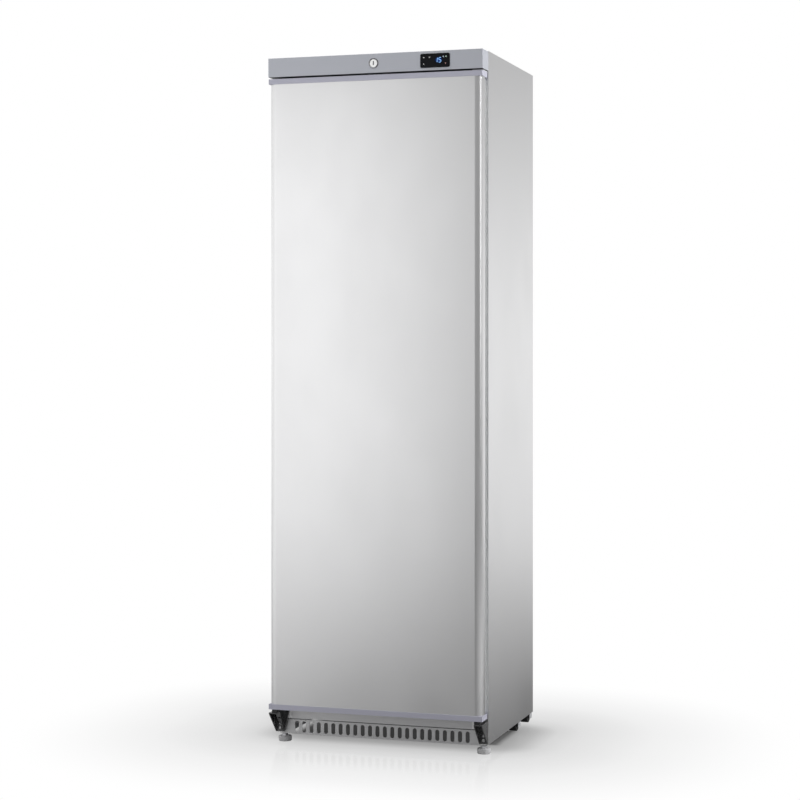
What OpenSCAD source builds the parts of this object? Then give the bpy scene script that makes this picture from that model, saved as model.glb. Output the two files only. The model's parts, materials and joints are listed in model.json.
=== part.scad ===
// Commercial upright refrigerator with one solid door
// Front faces -Y, the right-hand side is +X, and the floor is at z = 0.

/* [Cabinet] */
// Width over the side panels
cab_w = 600; // [560:10:700]
// Height of the cabinet's top above the floor
cab_h = 1860; // [1785:5:2000]
// Depth from the cabinet's front face to its back panel
cab_d = 495; // [480:5:600]
// Thickness of the outer steel sheet
sheet_t = 0.8; // [0.6:0.1:1.2]
// Height of the side panels' lower edge above the floor
skirt_z = 26.5; // [25.5:0.5:31]
// Height of the base pan above the side panels' lower edge
base_h = 40; // [38:1:46]
// Width of the side panels' return on the front face
return_w = 45; // [44:1:50]
// Width of that return below the base pan
foot_return_w = 22; // [18:1:24]
// Width of the side panels' return at the back
rear_return_w = 12; // [8:1:20]

/* [Insulation] */
// Distance from the outside to the cavity at the sides
wall_foam = 60; // [56:1:70]
// Distance from the back panel to the cavity
back_foam = 62.5; // [60:0.5:75]
// Distance from the base pan to the cavity floor
floor_foam = 62.5; // [60:0.5:70]
// Distance from the cabinet's top to the cavity ceiling
ceiling_foam = 110; // [105:1:120]
// Insulation around the machine bay
bay_foam = 50; // [40:1:60]
// Wall thickness of the moulded liner
liner_t = 2; // [1.5:0.5:3]
// Width of the liner's rim that the steel face leaves bare
liner_rim = 15; // [12:1:15]

/* [Machine bay] */
// Depth of the bay behind the cavity's step
bay_d = 200; // [190:5:220]
// Height of the bay's roof above the base pan
bay_h = 204.5; // [200:0.5:230]

/* [Door] */
// Depth from the foremost point to the cabinet's front face
door_zone = 60; // [58:1:70]
// How far the controller and the lock stand out of the panel
trim_proud = 1.5; // [1:0.25:2]
// Thickness of the door body
door_t = 50; // [48:1:52]
// Height of the door's lower edge above the floor
door_bottom_z = 98; // [95:0.5:105]
// Gap between the door and the control panel
door_top_gap = 5; // [4.5:0.5:8]
// Distance of the door's ends from the cabinet's sides
door_side_gap = 1; // [0.5:0.5:3]
// Height of the plastic end caps
cap_h = 14; // [12:1:18]
// How far the end caps stand out in front of the door sheet
cap_proud = 2; // [1:0.5:4]
// Radius of the door sheet's upright edges
door_r = 20; // [12:1:24]
// Depth of the door sheet's sides, from the caps' front
door_side_d = 32.5; // [28:0.5:36]
// Depth of the finger grip along each edge of the door
grip_d = 14; // [8:1:16]
// Width of the door seal
gasket_w = 22; // [18:1:24]
// How far the inner door panel reaches into the cavity's mouth
plug_d = 15; // [5:1:20]

/* [Hinges] */
// Distance of the hinge axis from the side of the cabinet
hinge_in = 16; // [15:0.5:18]
// Distance of the hinge axis from the cabinet's front face
hinge_out = 29.5; // [28:0.5:32]
// Radius of the hinge pins
pin_r = 4; // [3:0.5:5]
// Radial clearance of the pins in their bushes
pin_clear = 0.05; // [0.02:0.01:0.1]
// Wall thickness of the hinge bushes
bush_t = 3; // [2:0.5:4]
// Thickness of the hinge plates
bracket_t = 3; // [2:0.5:4]
// Width of the lower hinge brackets
bracket_w = 23.5; // [22:0.5:26]
// Height of the lower brackets from tip to top plate
bracket_h = 60; // [56:1:62]
// Thickness of the pads between the brackets and the door
pad_t = 8.7; // [6:0.1:10]

/* [Control panel] */
// Height of the control panel
panel_h = 51; // [46:1:60]
// How far the panel's top lies below the cabinet's top
panel_drop = 2; // [0:0.5:6]
// Wall thickness of the control panel
panel_wall = 2.5; // [2:0.25:3]

/* [Controller] */
// Width of the controller's face
ctrl_w = 81; // [78:1:90]
// Height of the controller's face
ctrl_h = 37; // [34:1:40]
// Corner radius of the controller's face
ctrl_r = 4.5; // [2:0.5:6]
// Distance of the controller's middle from the side of the cabinet
ctrl_in = 129.4; // [90:0.1:160]
// Depth of the controller's body behind the panel's front
ctrl_d = 45; // [35:1:50]
// Width of a key
key_w = 9; // [7:0.5:10]
// Height of a key
key_h = 7; // [5:0.5:8]
// Travel of a key
key_travel = 0.6; // [0.3:0.1:1]

/* [Lock] */
// Radius of the lock's chrome face ring
lock_r = 13.5; // [13:0.5:16]
// Radius of the turning barrel
barrel_r = 10.5; // [9:0.5:11]
// Depth of the barrel behind the panel's front
barrel_d = 24; // [20:1:30]
// Length of the lock's cam from the axis
cam_l = 38; // [36:0.5:39]
// Width of the cam
cam_w = 12; // [8:1:14]
// Thickness of the cam
cam_t = 3; // [2:0.5:4]

/* [Plinth and feet] */
// Number of slots in the plinth grille
slot_count = 24; // [12:1:24]
// Distance between slots
slot_pitch = 21; // [18:0.5:21.5]
// Width of a slot
slot_w = 11; // [6:0.5:13]
// Height of a slot
slot_h = 30; // [20:1:31]
// Height of the plinth's lower edge above the floor
plinth_z = 23; // [20:0.5:25]
// Distance of the plinth behind the cabinet's front face
plinth_in = 6; // [4:0.5:8]
// Thickness of the plinth
plinth_t = 1.5; // [1:0.5:2]
// Height of the open seam between the plinth and the rail above it
plinth_seam = 3.2; // [2:0.2:4]
// Radius of a foot
foot_r = 18; // [14:1:22]
// Height of a foot's disc
foot_h = 14; // [10:1:16]
// Radius of a foot's threaded stem
stem_r = 5; // [4:0.5:6]
// Distance of the feet behind the cabinet's front face
foot_in = 22; // [20:1:30]

/* [Rollers and runners] */
// Radius of a roller
roller_r = 20; // [18:0.5:22]
// Width of a roller's tread
roller_w = 22; // [14:1:24]
// Distance of the middle pair of rollers from the cabinet's back
roller_front_in = 155; // [140:5:170]
// Distance of the rear pair of rollers from the cabinet's back
roller_rear_in = 23; // [22.5:0.5:40]
// Width of a base runner
runner_w = 34.5; // [34:0.5:38]
// Thickness of a base runner
runner_t = 2; // [1.5:0.5:2.5]
// Radius of a roller's axle
axle_r = 4; // [3:0.5:5]

/* [Shelves] */
// Distance between shelves
shelf_pitch = 345; // [300:5:345]
// Height of the lowest shelf above the cavity's step
shelf_low = 18; // [12:1:60]
// Radius of a shelf's cross rods
rod_r = 3; // [2.5:0.5:4]
// Radius of a shelf's wires
wire_r = 2; // [1.5:0.25:2.5]
// Largest distance between wires
wire_pitch = 21; // [18:1:30]
// Depth of a moulded shelf ledge
ledge_d = 12; // [8:1:16]
// Height of a moulded shelf ledge
ledge_h = 10; // [6:1:16]

/* [Fan] */
// Radius of the fan's blades
fan_r = 47; // [40:1:50]
// Number of fan blades
blade_count = 5; // [4:1:7]
// Width of the fan's cover
fan_cover_w = 220; // [160:10:300]
// Height of the fan's cover
fan_cover_h = 140; // [130:5:160]
// Depth of the fan's cover
fan_cover_d = 45; // [42:1:60]
// Distance of the fan's axis below the ceiling
fan_down = 115; // [100:5:130]

/* [Refrigeration] */
// Depth behind the back panel that the condenser takes
rear_zone = 30; // [24:1:45]
// Radius of the condenser's tube
tube_r = 2.5; // [2:0.25:3]
// Number of condenser passes
pass_count = 24; // [16:2:26]
// Half length of a condenser pass
pass_half = 225; // [180:5:230]
// Height of the lowest condenser pass
cond_z0 = 335; // [325:5:400]
// Height of the highest condenser pass
cond_z1 = 1705; // [1500:5:1745]
// Number of condenser wires on each side
cond_wires = 18; // [10:1:24]
// Radius of the compressor's shell
comp_r = 75; // [65:1:80]
// Height of the compressor's shell
comp_h = 161.5; // [140:0.5:162]
// Height of the compressor's rubber mounts
mount_h = 14; // [10:1:16]
// Depth of the evaporation pan
pan_h = 16; // [12:1:17]
// Bore radius of the gland for the supply cord
gland_bore_r = 4; // [3:0.5:4.5]

/* [Hidden] */
$fn = 48;

// Clearances and small overlaps
seat_gap = 0.3;
fit_gap = 0.1;
cut = 1;

// Main planes
half_w = cab_w / 2;
front_y = -(door_zone + cab_d + rear_zone) / 2;
panel_front_y = front_y + trim_proud;
face_y = front_y + door_zone;
back_y = face_y + cab_d;
rear_y = back_y + rear_zone;
base_z = skirt_z + base_h;
shell_in = half_w - sheet_t;
steel_in = half_w - return_w;

// Cavity and machine bay
cav_half = half_w - wall_foam;
cav_back_y = back_y - back_foam;
cav_floor_z = base_z + floor_foam;
cav_top_z = cab_h - ceiling_foam;
bay_front_y = back_y - bay_d;
bay_roof_z = base_z + bay_h;
step_y = bay_front_y - bay_foam;
step_z = bay_roof_z + bay_foam;
mouth_y = face_y + sheet_t;
foam_front_y = mouth_y + liner_t;
lip_over = 8;

// Control panel
panel_top_z = cab_h - panel_drop;
panel_bottom_z = panel_top_z - panel_h;
panel_mid_z = (panel_top_z + panel_bottom_z) / 2;

// Door
door_half = half_w - door_side_gap;
door_top_z = panel_bottom_z - door_top_gap;
door_back_y = panel_front_y + door_t;
skin_half = door_half - 1;
skin_y = panel_front_y + cap_proud;
skin_z0 = door_bottom_z + cap_h;
skin_z1 = door_top_z - cap_h;
grip_y = panel_front_y + door_side_d;
inner_half = door_half - grip_d;
seal_in = 14;
gasket_half = cav_half + seal_in + gasket_w;
gasket_z0 = cav_floor_z - 2 - gasket_w;
gasket_z1 = cav_top_z + 4 + gasket_w;
plug_in = 18;
plug_z0 = cav_floor_z + plug_in + 2;
plug_z1 = cav_top_z - plug_in - 2;

// Hinges
hinge_x = half_w - hinge_in;
hinge_y = face_y - hinge_out;
bracket_out_x = half_w - 1;
bracket_in_x = bracket_out_x - bracket_w;
bracket_top_z = door_bottom_z - seat_gap - pad_t;
bracket_tip_z = bracket_top_z - bracket_h;
low_pin_z = bracket_top_z - bracket_t - 1.5;
pad_side_in = 8;
pad_front_in = 3;
flange_over = 15.5;
top_plate_z = door_top_z + (door_top_gap - bracket_t) / 2;
top_plate_w = 29;
top_plate_in_x = half_w - panel_wall - 0.5 - top_plate_w;
top_flange_h = 38;
screw_r = 2;
screw_head_r = 4.5;
screw_head_t = 2.5;
screw_l = sheet_t + liner_t - 0.2;
screw_x = (bracket_in_x + bracket_out_x) / 2;
low_screw_z = [bracket_tip_z + 10, bracket_tip_z + 22];
top_screw_x = top_plate_in_x + top_plate_w / 2;
top_screw_z = [panel_bottom_z + 12, panel_bottom_z + 27];
bush_l = 12;
pin_end_gap = 1;
pin_head = 1.2;

// Controller and its keys, measured from the middle of the face
ctrl_x = half_w - ctrl_in;
lens_rim = 2;
lens_t = 1;
key_out_x = 31;
key_in_x = 15;
key_low_x = 28.75;
key_high_z = 8.5;
key_low_z = -8.5;
key_cap_t = 3.5;
key_stem_r = 1.5;
key_stem_l = 1.8;
key_well_d = key_cap_t + key_stem_l + key_travel + fit_gap;
KEY_PLACES = [
    [-key_out_x, key_high_z],
    [-key_in_x, key_high_z],
    [-key_out_x, key_low_z],
    [key_low_x, key_low_z]
];
ctrl_body_rim = 5;

// Lock
sleeve_r = barrel_r + 1.5;
sleeve_d = 18;
cam_y = panel_front_y + barrel_d;
cam_room = 1.5;
cam_side_room = 2;
floor_reach = sqrt(pow(cam_l, 2) - pow(panel_h / 2 - panel_wall, 2));
pocket_reach = sqrt(pow(cam_l, 2) - pow(panel_h / 2 + door_top_gap, 2));
pocket_floor_z = panel_mid_z - cam_l - 2;
keyway_w = 3.2;
keyway_h = 10;
keyway_d = 12;

// Feet, runners and rollers
plinth_y = face_y + plinth_in;
plinth_top_z = base_z - sheet_t - plinth_seam;
plinth_half = half_w - 10;
runner_out_x = shell_in;
runner_in_x = runner_out_x - runner_w;
runner_mid_x = (runner_in_x + runner_out_x) / 2;
runner_y0 = plinth_y + plinth_t;
runner_y1 = back_y - 2;
foot_y = face_y + foot_in;
weld_nut_h = 8;
hex_r = 9.24;
hex_h = 9;
axle_z = roller_r;
tab_half = 12;
tab_z = axle_z - 8;
roller_hub_gap = 0.3;
roller_middle_y = back_y - roller_front_in;
roller_rear_y = back_y - roller_rear_in;

// Shelves
shelf_count = 4;
shelf_y0 = face_y + 27.5;
shelf_y1 = cav_back_y - 10;
shelf_half = cav_half - 2.5;
weld = 0.8;
function ledge_top(i) = step_z + shelf_low + i * shelf_pitch;
wire_gaps = ceil((2 * shelf_half - 4 * wire_r) / wire_pitch);

// Fan
fan_z = cav_top_z - fan_down;
fan_y0 = cav_back_y - fan_cover_d;
fan_wall = 2;
fan_hole_r = fan_r + 7;
motor_r = 19;
motor_d = 18;
fan_hub_r = 15;
fan_shaft_r = 2.5;
fan_hub_y0 = fan_y0 + 8;
fan_hub_l = 13;
guard_r = 1.5;

// Evaporator
evap_half = 150;
evap_h = 880;
evap_down = 165;
evap_z1 = cav_top_z - evap_down;
evap_z0 = evap_z1 - evap_h;
evap_passes = 16;
evap_pitch = (evap_z1 - evap_z0) / (evap_passes - 1);
evap_plate_t = 1.5;
evap_tube_r = 4;
evap_y0 = cav_back_y + liner_t;
evap_y = evap_y0 + evap_plate_t + evap_tube_r - 1;
evap_plate_half = evap_half + evap_pitch / 2 + evap_tube_r + 2;

// Drain
drain_r = 9;
drain_bore_r = 7;
drain_x = 60;
drain_y = cav_back_y - 25;

// Compressor and its tray
tray_t = 2;
tray_z = base_z + tray_t;
tray_y0 = bay_front_y + 4;
tray_y1 = back_y - 4;
tray_half = shell_in - 4;
comp_x = 60;
comp_in = 100;
comp_y = back_y - comp_in;
comp_plate_t = 3;
comp_plate_w = 200;
comp_plate_d = 130;
comp_z = tray_z + mount_h + comp_plate_t;
comp_top_z = comp_z + comp_h;
comp_flat_r = 32;
relay_half = 28;
relay_out = 32;
relay_up = 16;
relay_h = 50;
relay_in = 8;
mount_r = 10;
mount_x = comp_plate_w / 2 - 14;
mount_y = comp_plate_d / 2 - 14;
pan_w = 190;
pan_d = 130;
pan_wall = 2;
drain_end_z = comp_top_z + 8;
gland_in = 50;
gland_x = -(half_w - gland_in);
gland_z = base_z + 28;
gland_r = gland_bore_r + 2.5;
gland_l = 20;
gland_plate_h = 45;

// Condenser
cond_wire_r = 0.8;
cond_wire_off = tube_r + cond_wire_r + 0.05;
cond_y = rear_y - cond_wire_off - cond_wire_r;
cond_pitch = (cond_z1 - cond_z0) / (pass_count - 1);
cond_wire_half = pass_half - 20;
cond_bar_over = 30;
cond_bar_t = 2;
clip_w = 12;
clip_half_h = 7;
clip_x = pass_half - 8;
clip_passes = [2, pass_count - 3];

// Pipe routes: hot gas, liquid, capillary and return gas
drier_x = -245;
drier_y = back_y - 37.5;
drier_r = 10;
drier_z0 = 128;
drier_z1 = 212;
cap_r = 1.2;
suction_r = 3;
bead = 0.3;
riser_x = -(pass_half + 47);
suction_x = -200;
suction_y = back_y - 27.5;
suction_in_y = comp_y + 17.5;
shell_gap = 0.2;
suction_end_x = comp_x - sqrt(pow(comp_r, 2) - pow(suction_in_y - comp_y - suction_r, 2)) - shell_gap;
hot_up = 48;
suction_up = 95;
hot_z = comp_z + hot_up;
suction_z = comp_z + suction_up;
liquid_z = bay_roof_z - 22;
capillary_z = drier_z0 - 10;
HOT_ROUTE = [
    [comp_x - comp_r - shell_gap, comp_y, hot_z],
    [riser_x, comp_y, hot_z],
    [riser_x, cond_y, hot_z],
    [riser_x, cond_y, cond_z1],
    [-pass_half, cond_y, cond_z1]
];
LIQUID_ROUTE = [
    [-pass_half, cond_y, cond_z0],
    [drier_x, cond_y, cond_z0],
    [drier_x, cond_y, liquid_z],
    [drier_x, drier_y, liquid_z],
    [drier_x, drier_y, drier_z1]
];
CAPILLARY_ROUTE = [
    [drier_x, drier_y, drier_z0],
    [drier_x, drier_y, capillary_z],
    [-evap_half - 10, drier_y, capillary_z],
    [-evap_half - 10, drier_y, evap_z0 - 50],
    [-evap_half - 10, evap_y, evap_z0 - 50],
    [-evap_half - 10, evap_y, evap_z0],
    [-evap_half, evap_y, evap_z0]
];
SUCTION_ROUTE = [
    [-evap_half, evap_y, evap_z1],
    [suction_x, evap_y, evap_z1],
    [suction_x, evap_y, evap_z0 - 40],
    [suction_x, suction_y, evap_z0 - 40],
    [suction_x, suction_y, suction_z],
    [suction_x, suction_in_y, suction_z],
    [suction_end_x, suction_in_y, suction_z]
];

// Box between two opposite corners
module block(low, high) {
    translate(low)
        cube(high - low);
}

// Right-hand shape as drawn, or mirrored to the left
module handed(side) {
    if (side > 0) {
        children();
    } else {
        mirror([1, 0, 0])
            children();
    }
}

// Outline in x and z, drawn out between two depths
module along_y(y0, y1) {
    translate([0, y1, 0])
        rotate([90, 0, 0])
            linear_extrude(y1 - y0)
                children();
}

// Outline in y and z, drawn out between two x values
module along_x(x0, x1) {
    translate([x0, 0, 0])
        rotate([90, 0, 90])
            linear_extrude(x1 - x0)
                children();
}

// Rectangle with true round corners, centred
module rounded(w, h, r) {
    square([w - 2 * r, h], center = true);
    square([w, h - 2 * r], center = true);
    for (i = [-1, 1], j = [-1, 1])
        translate([i * (w / 2 - r), j * (h / 2 - r)])
            circle(r);
}

// Slot with round ends, standing upright, centred
module upright_slot(w, h) {
    square([w, h - w], center = true);
    for (j = [-1, 1])
        translate([0, j * (h - w) / 2])
            circle(w / 2);
}

// Round bar from one point to another
module bar(from, to, r) {
    d = to - from;
    translate(from)
        rotate([0, acos(d[2] / norm(d)), atan2(d[1], d[0])])
            cylinder(h = norm(d), r = r);
}

// Pipe along a route, with a brazed bead at each corner
module pipe(route, r) {
    for (i = [0 : len(route) - 2])
        bar(route[i], route[i + 1], r);
    for (i = [1 : len(route) - 2])
        translate(route[i])
            sphere(r + bead);
}

// Flat serpentine of passes along x, stacked in z
module serpentine(half, y, z0, pitch, count, r) {
    for (i = [0 : count - 1])
        bar([-half, y, z0 + i * pitch], [half, y, z0 + i * pitch], r);
    for (i = [0 : count - 2])
        translate([i % 2 == 0 ? half : -half, y, z0 + (i + 0.5) * pitch])
            rotate([90, i % 2 == 0 ? 90 : -90, 0])
                rotate_extrude(angle = 180)
                    translate([pitch / 2, 0])
                        circle(r);
}

// Holes for the hinge screws through the cabinet's front return
module hinge_screw_holes(r) {
    for (z = low_screw_z)
        along_y(face_y - bracket_t - cut, mouth_y + cut)
            translate([screw_x, z])
                circle(r);
    for (z = top_screw_z)
        along_y(face_y - bracket_t - cut, mouth_y + cut)
            translate([top_screw_x, z])
                circle(r);
}

// Side wall with its folded returns at the front and the back
module side_panel(side) {
    color("lightgray")
        handed(side)
            difference() {
                union() {
                    block([shell_in, face_y, skirt_z], [half_w, back_y, cab_h]);
                    block([steel_in, face_y, base_z], [half_w, mouth_y, cab_h]);
                    block([half_w - foot_return_w, face_y, skirt_z], [half_w, mouth_y, base_z + cut]);
                    block([half_w - rear_return_w, back_y - sheet_t, skirt_z], [half_w, back_y, cab_h]);
                }
                hinge_screw_holes(screw_r + fit_gap);
            }
}

// Top sheet with a deep front flange behind the control panel
module top_panel() {
    color("lightgray") {
        block([-shell_in, mouth_y, cab_h - sheet_t], [shell_in, back_y - sheet_t, cab_h]);
        block([-steel_in, face_y, cav_top_z + liner_rim], [steel_in, mouth_y, cab_h]);
    }
}

// Flat sheet that closes the back above the machine bay
module back_panel() {
    half = half_w - rear_return_w;
    color("silver")
        block([-half, back_y - sheet_t, bay_roof_z - sheet_t], [half, back_y, cab_h]);
}

// Sheet under the insulation, folded up and over the machine bay
module base_pan() {
    color("silver")
        difference() {
            union() {
                block([-shell_in, mouth_y, base_z], [shell_in, bay_front_y, base_z + sheet_t]);
                block([-shell_in, bay_front_y - sheet_t, base_z], [shell_in, bay_front_y, bay_roof_z]);
                block(
                    [-shell_in, bay_front_y - sheet_t, bay_roof_z - sheet_t],
                    [shell_in, back_y - sheet_t, bay_roof_z]
                );
            }
            drain_hole(drain_r + fit_gap);
            pipe(CAPILLARY_ROUTE, cap_r + bead);
            pipe(SUCTION_ROUTE, suction_r + bead);
        }
}

// Cross rail below the door
module bottom_rail() {
    color("darkgray") {
        block([-steel_in, face_y, base_z - sheet_t], [steel_in, mouth_y, cav_floor_z - liner_rim]);
        block([-steel_in, face_y, base_z - sheet_t], [steel_in, face_y + liner_rim, base_z]);
    }
}

// Upright hole for the drain tube
module drain_hole(r) {
    translate([drain_x, drain_y, drain_end_z])
        cylinder(h = step_z - drain_end_z + cut, r = r);
}

// Cavity's outline seen from the side, grown by a wall
module cavity_outline(wall) {
    polygon([
        [face_y - cut, cav_floor_z - wall],
        [step_y + wall, cav_floor_z - wall],
        [step_y + wall, step_z - wall],
        [cav_back_y + wall, step_z - wall],
        [cav_back_y + wall, cav_top_z + wall],
        [face_y - cut, cav_top_z + wall]
    ]);
}

// Cavity's space, grown by a wall
module cavity(wall) {
    along_x(-cav_half - wall, cav_half + wall)
        cavity_outline(wall);
}

// Moulded liner with its rim and the ledges that carry the shelves
module inner_liner() {
    rim = liner_rim + lip_over;
    color("white")
        difference() {
            union() {
                difference() {
                    union() {
                        intersection() {
                            cavity(liner_t);
                            block([-half_w, mouth_y, 0], [half_w, back_y, cab_h]);
                        }
                        block(
                            [-cav_half - rim, mouth_y, cav_floor_z - rim],
                            [cav_half + rim, foam_front_y, cav_top_z + rim]
                        );
                    }
                    cavity(0);
                }
                for (i = [0 : shelf_count - 1], side = [-1, 1])
                    handed(side)
                        block(
                            [cav_half - ledge_d, shelf_y0 + 5, ledge_top(i) - ledge_h],
                            [cav_half + liner_t / 2, shelf_y1 - 5, ledge_top(i)]
                        );
            }
            drain_hole(drain_r + fit_gap);
        }
}

// Foamed insulation between the shell and the liner
module insulation_foam() {
    color("khaki")
        difference() {
            along_x(-shell_in, shell_in)
                polygon([
                    [foam_front_y, base_z + sheet_t],
                    [bay_front_y - sheet_t, base_z + sheet_t],
                    [bay_front_y - sheet_t, bay_roof_z],
                    [back_y - sheet_t, bay_roof_z],
                    [back_y - sheet_t, cab_h - sheet_t],
                    [foam_front_y, cab_h - sheet_t]
                ]);
            cavity(liner_t);
            block(
                [-evap_plate_half, cav_back_y, evap_z0 - 10],
                [evap_plate_half, evap_y + evap_tube_r + bead, evap_z1 + 10]
            );
            drain_hole(drain_r + fit_gap);
            pipe(CAPILLARY_ROUTE, cap_r + bead);
            pipe(SUCTION_ROUTE, suction_r + bead);
        }
}

// Plinth with a row of upright slots
module plinth_grille() {
    slots_w = (slot_count - 1) * slot_pitch;
    color("darkgray")
        along_y(plinth_y, plinth_y + plinth_t)
            difference() {
                translate([-plinth_half, plinth_z])
                    square([2 * plinth_half, plinth_top_z - plinth_z]);
                for (i = [0 : slot_count - 1])
                    translate([i * slot_pitch - slots_w / 2, (plinth_z + plinth_top_z) / 2])
                        upright_slot(slot_w, slot_h);
            }
}

// One channel under the cabinet's side, with a weld nut and roller tabs
module runner() {
    difference() {
        union() {
            block([runner_in_x, runner_y0, base_z - runner_t], [runner_out_x, runner_y1, base_z]);
            block([runner_in_x, runner_y0, skirt_z], [runner_out_x, runner_y0 + runner_t, base_z]);
            for (x = [runner_in_x, runner_out_x - runner_t]) {
                block([x, runner_y0, skirt_z], [x + runner_t, runner_y1, base_z]);
                for (y = [roller_middle_y, roller_rear_y])
                    block([x, y - tab_half, tab_z], [x + runner_t, y + tab_half, skirt_z + cut]);
            }
            translate([runner_mid_x, foot_y, base_z - runner_t - weld_nut_h])
                cylinder(h = weld_nut_h + runner_t / 2, r = hex_r, $fn = 6);
        }
        translate([runner_mid_x, foot_y, skirt_z])
            cylinder(h = base_h + cut, r = stem_r + pin_clear);
        for (y = [roller_middle_y, roller_rear_y])
            bar([runner_in_x - cut, y, axle_z], [half_w, y, axle_z], axle_r);
    }
}

// Axle of one roller, with a rivet head on its inner end
module roller_axle(y) {
    bar([runner_in_x - 1.5, y, axle_z], [runner_out_x, y, axle_z], axle_r);
    bar([runner_in_x - 1.5, y, axle_z], [runner_in_x, y, axle_z], axle_r + 2);
}

// Both runners and their four axles
module base_runners() {
    color("gray")
        for (side = [-1, 1])
            handed(side) {
                runner();
                for (y = [roller_middle_y, roller_rear_y])
                    roller_axle(y);
            }
}

// Roller with hub faces that almost meet the runner's walls
module roller(side, y) {
    hub_half = runner_w / 2 - runner_t - roller_hub_gap;
    color("dimgray")
        handed(side)
            difference() {
                union() {
                    bar(
                        [runner_mid_x - roller_w / 2, y, axle_z],
                        [runner_mid_x + roller_w / 2, y, axle_z],
                        roller_r
                    );
                    bar(
                        [runner_mid_x - hub_half, y, axle_z],
                        [runner_mid_x + hub_half, y, axle_z],
                        axle_r + 4
                    );
                }
                bar([runner_in_x, y, axle_z], [runner_out_x, y, axle_z], axle_r + pin_clear);
            }
}

// Foot's disc with a hexagon to turn it by, and its threaded stem
module foot(side) {
    color("silver")
        translate([side * runner_mid_x, foot_y, 0]) {
            difference() {
                union() {
                    cylinder(h = 1.5, r1 = foot_r - 1.5, r2 = foot_r);
                    translate([0, 0, 1.5])
                        cylinder(h = foot_h - 1.5, r = foot_r);
                    translate([0, 0, foot_h - cut])
                        cylinder(h = hex_h + cut, r = hex_r, $fn = 6);
                }
                translate([0, 0, 6])
                    cylinder(h = foot_h + hex_h, r = stem_r);
            }
            translate([0, 0, 6])
                cylinder(h = base_z - 6 - 0.5, r = stem_r);
        }
}

// Hollow panel above the door
module control_panel() {
    color("lightsteelblue")
        difference() {
            block([-half_w, panel_front_y, panel_bottom_z], [half_w, face_y, panel_top_z]);
            block(
                [-half_w + panel_wall, panel_front_y + panel_wall, panel_bottom_z + panel_wall],
                [half_w - panel_wall, face_y + cut, panel_top_z - panel_wall]
            );
            along_y(front_y, panel_front_y + panel_wall + cut) {
                translate([ctrl_x, panel_mid_z])
                    square(
                        [
                            ctrl_w - 2 * ctrl_body_rim + 2 * fit_gap,
                            ctrl_h - 2 * ctrl_body_rim + 2 * fit_gap
                        ],
                        center = true
                    );
                translate([0, panel_mid_z])
                    circle(sleeve_r + fit_gap);
            }
            block(
                [-cam_w / 2 - cam_side_room, cam_y - cam_room, panel_bottom_z - cut],
                [floor_reach + cam_side_room, cam_y + cam_t + cam_room, panel_bottom_z + panel_wall + cut]
            );
            for (side = [-1, 1])
                handed(side)
                    block(
                        [top_plate_in_x - seat_gap, face_y - bracket_t - seat_gap, panel_bottom_z - cut],
                        [
                            top_plate_in_x + top_plate_w + seat_gap,
                            face_y + cut,
                            panel_bottom_z + panel_wall + cut
                        ]
                    );
        }
}

// Outline of the controller's face
module controller_face() {
    translate([ctrl_x, panel_mid_z])
        rounded(ctrl_w, ctrl_h, ctrl_r);
}

// Front window's outline
module lens_outline() {
    translate([ctrl_x, panel_mid_z])
        rounded(ctrl_w - 2 * lens_rim, ctrl_h - 2 * lens_rim, ctrl_r - lens_rim / 2);
}

// Outlines of the four keys, grown by a gap
module key_outlines(gap) {
    for (place = KEY_PLACES)
        translate([ctrl_x + place[0], panel_mid_z + place[1]])
            square([key_w + 2 * gap, key_h + 2 * gap], center = true);
}

// Controller's case, with wells behind the keys
module controller_case() {
    color("black")
        difference() {
            union() {
                along_y(front_y, panel_front_y)
                    controller_face();
                along_y(front_y + lens_t + 0.2, panel_front_y + ctrl_d)
                    translate([ctrl_x, panel_mid_z])
                        square([ctrl_w - 2 * ctrl_body_rim, ctrl_h - 2 * ctrl_body_rim], center = true);
            }
            along_y(front_y - cut, front_y + lens_t)
                lens_outline();
            along_y(front_y - cut, front_y + key_well_d)
                key_outlines(seat_gap);
        }
}

// Dark window over the display, with openings for the keys
module display_lens() {
    color("midnightblue")
        along_y(front_y, front_y + lens_t)
            difference() {
                lens_outline();
                key_outlines(seat_gap);
            }
}

// Key cap with the stem that works its switch
module key(place) {
    x = ctrl_x + place[0];
    z = panel_mid_z + place[1];
    color("dimgray") {
        along_y(front_y, front_y + key_cap_t)
            translate([x, z])
                square([key_w, key_h], center = true);
        bar(
            [x, front_y + key_cap_t - 0.5, z],
            [x, front_y + key_cap_t + key_stem_l, z],
            key_stem_r
        );
    }
}

// Lock's face ring and sleeve
module lock_body() {
    color("gainsboro")
        difference() {
            union() {
                bar([0, front_y, panel_mid_z], [0, panel_front_y, panel_mid_z], lock_r);
                bar([0, front_y, panel_mid_z], [0, panel_front_y + sleeve_d, panel_mid_z], sleeve_r);
            }
            bar(
                [0, front_y - cut, panel_mid_z],
                [0, panel_front_y + sleeve_d + cut, panel_mid_z],
                barrel_r + pin_clear
            );
        }
}

// Turning barrel with its keyway
module lock_barrel() {
    color("silver")
        difference() {
            bar([0, front_y + 0.2, panel_mid_z], [0, cam_y, panel_mid_z], barrel_r);
            block(
                [-keyway_w / 2, front_y - cut, panel_mid_z - keyway_h / 2],
                [keyway_w / 2, front_y + keyway_d, panel_mid_z + keyway_h / 2]
            );
        }
}

// Cam that turns down through the panel's floor into the door's top cap
module lock_cam() {
    color("gray")
        along_y(cam_y, cam_y + cam_t)
            translate([0, panel_mid_z]) {
                circle(barrel_r - 1);
                translate([0, -cam_w / 2])
                    square([cam_l - cam_w / 2, cam_w]);
                translate([cam_l - cam_w / 2, 0])
                    circle(cam_w / 2);
            }
}

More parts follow.
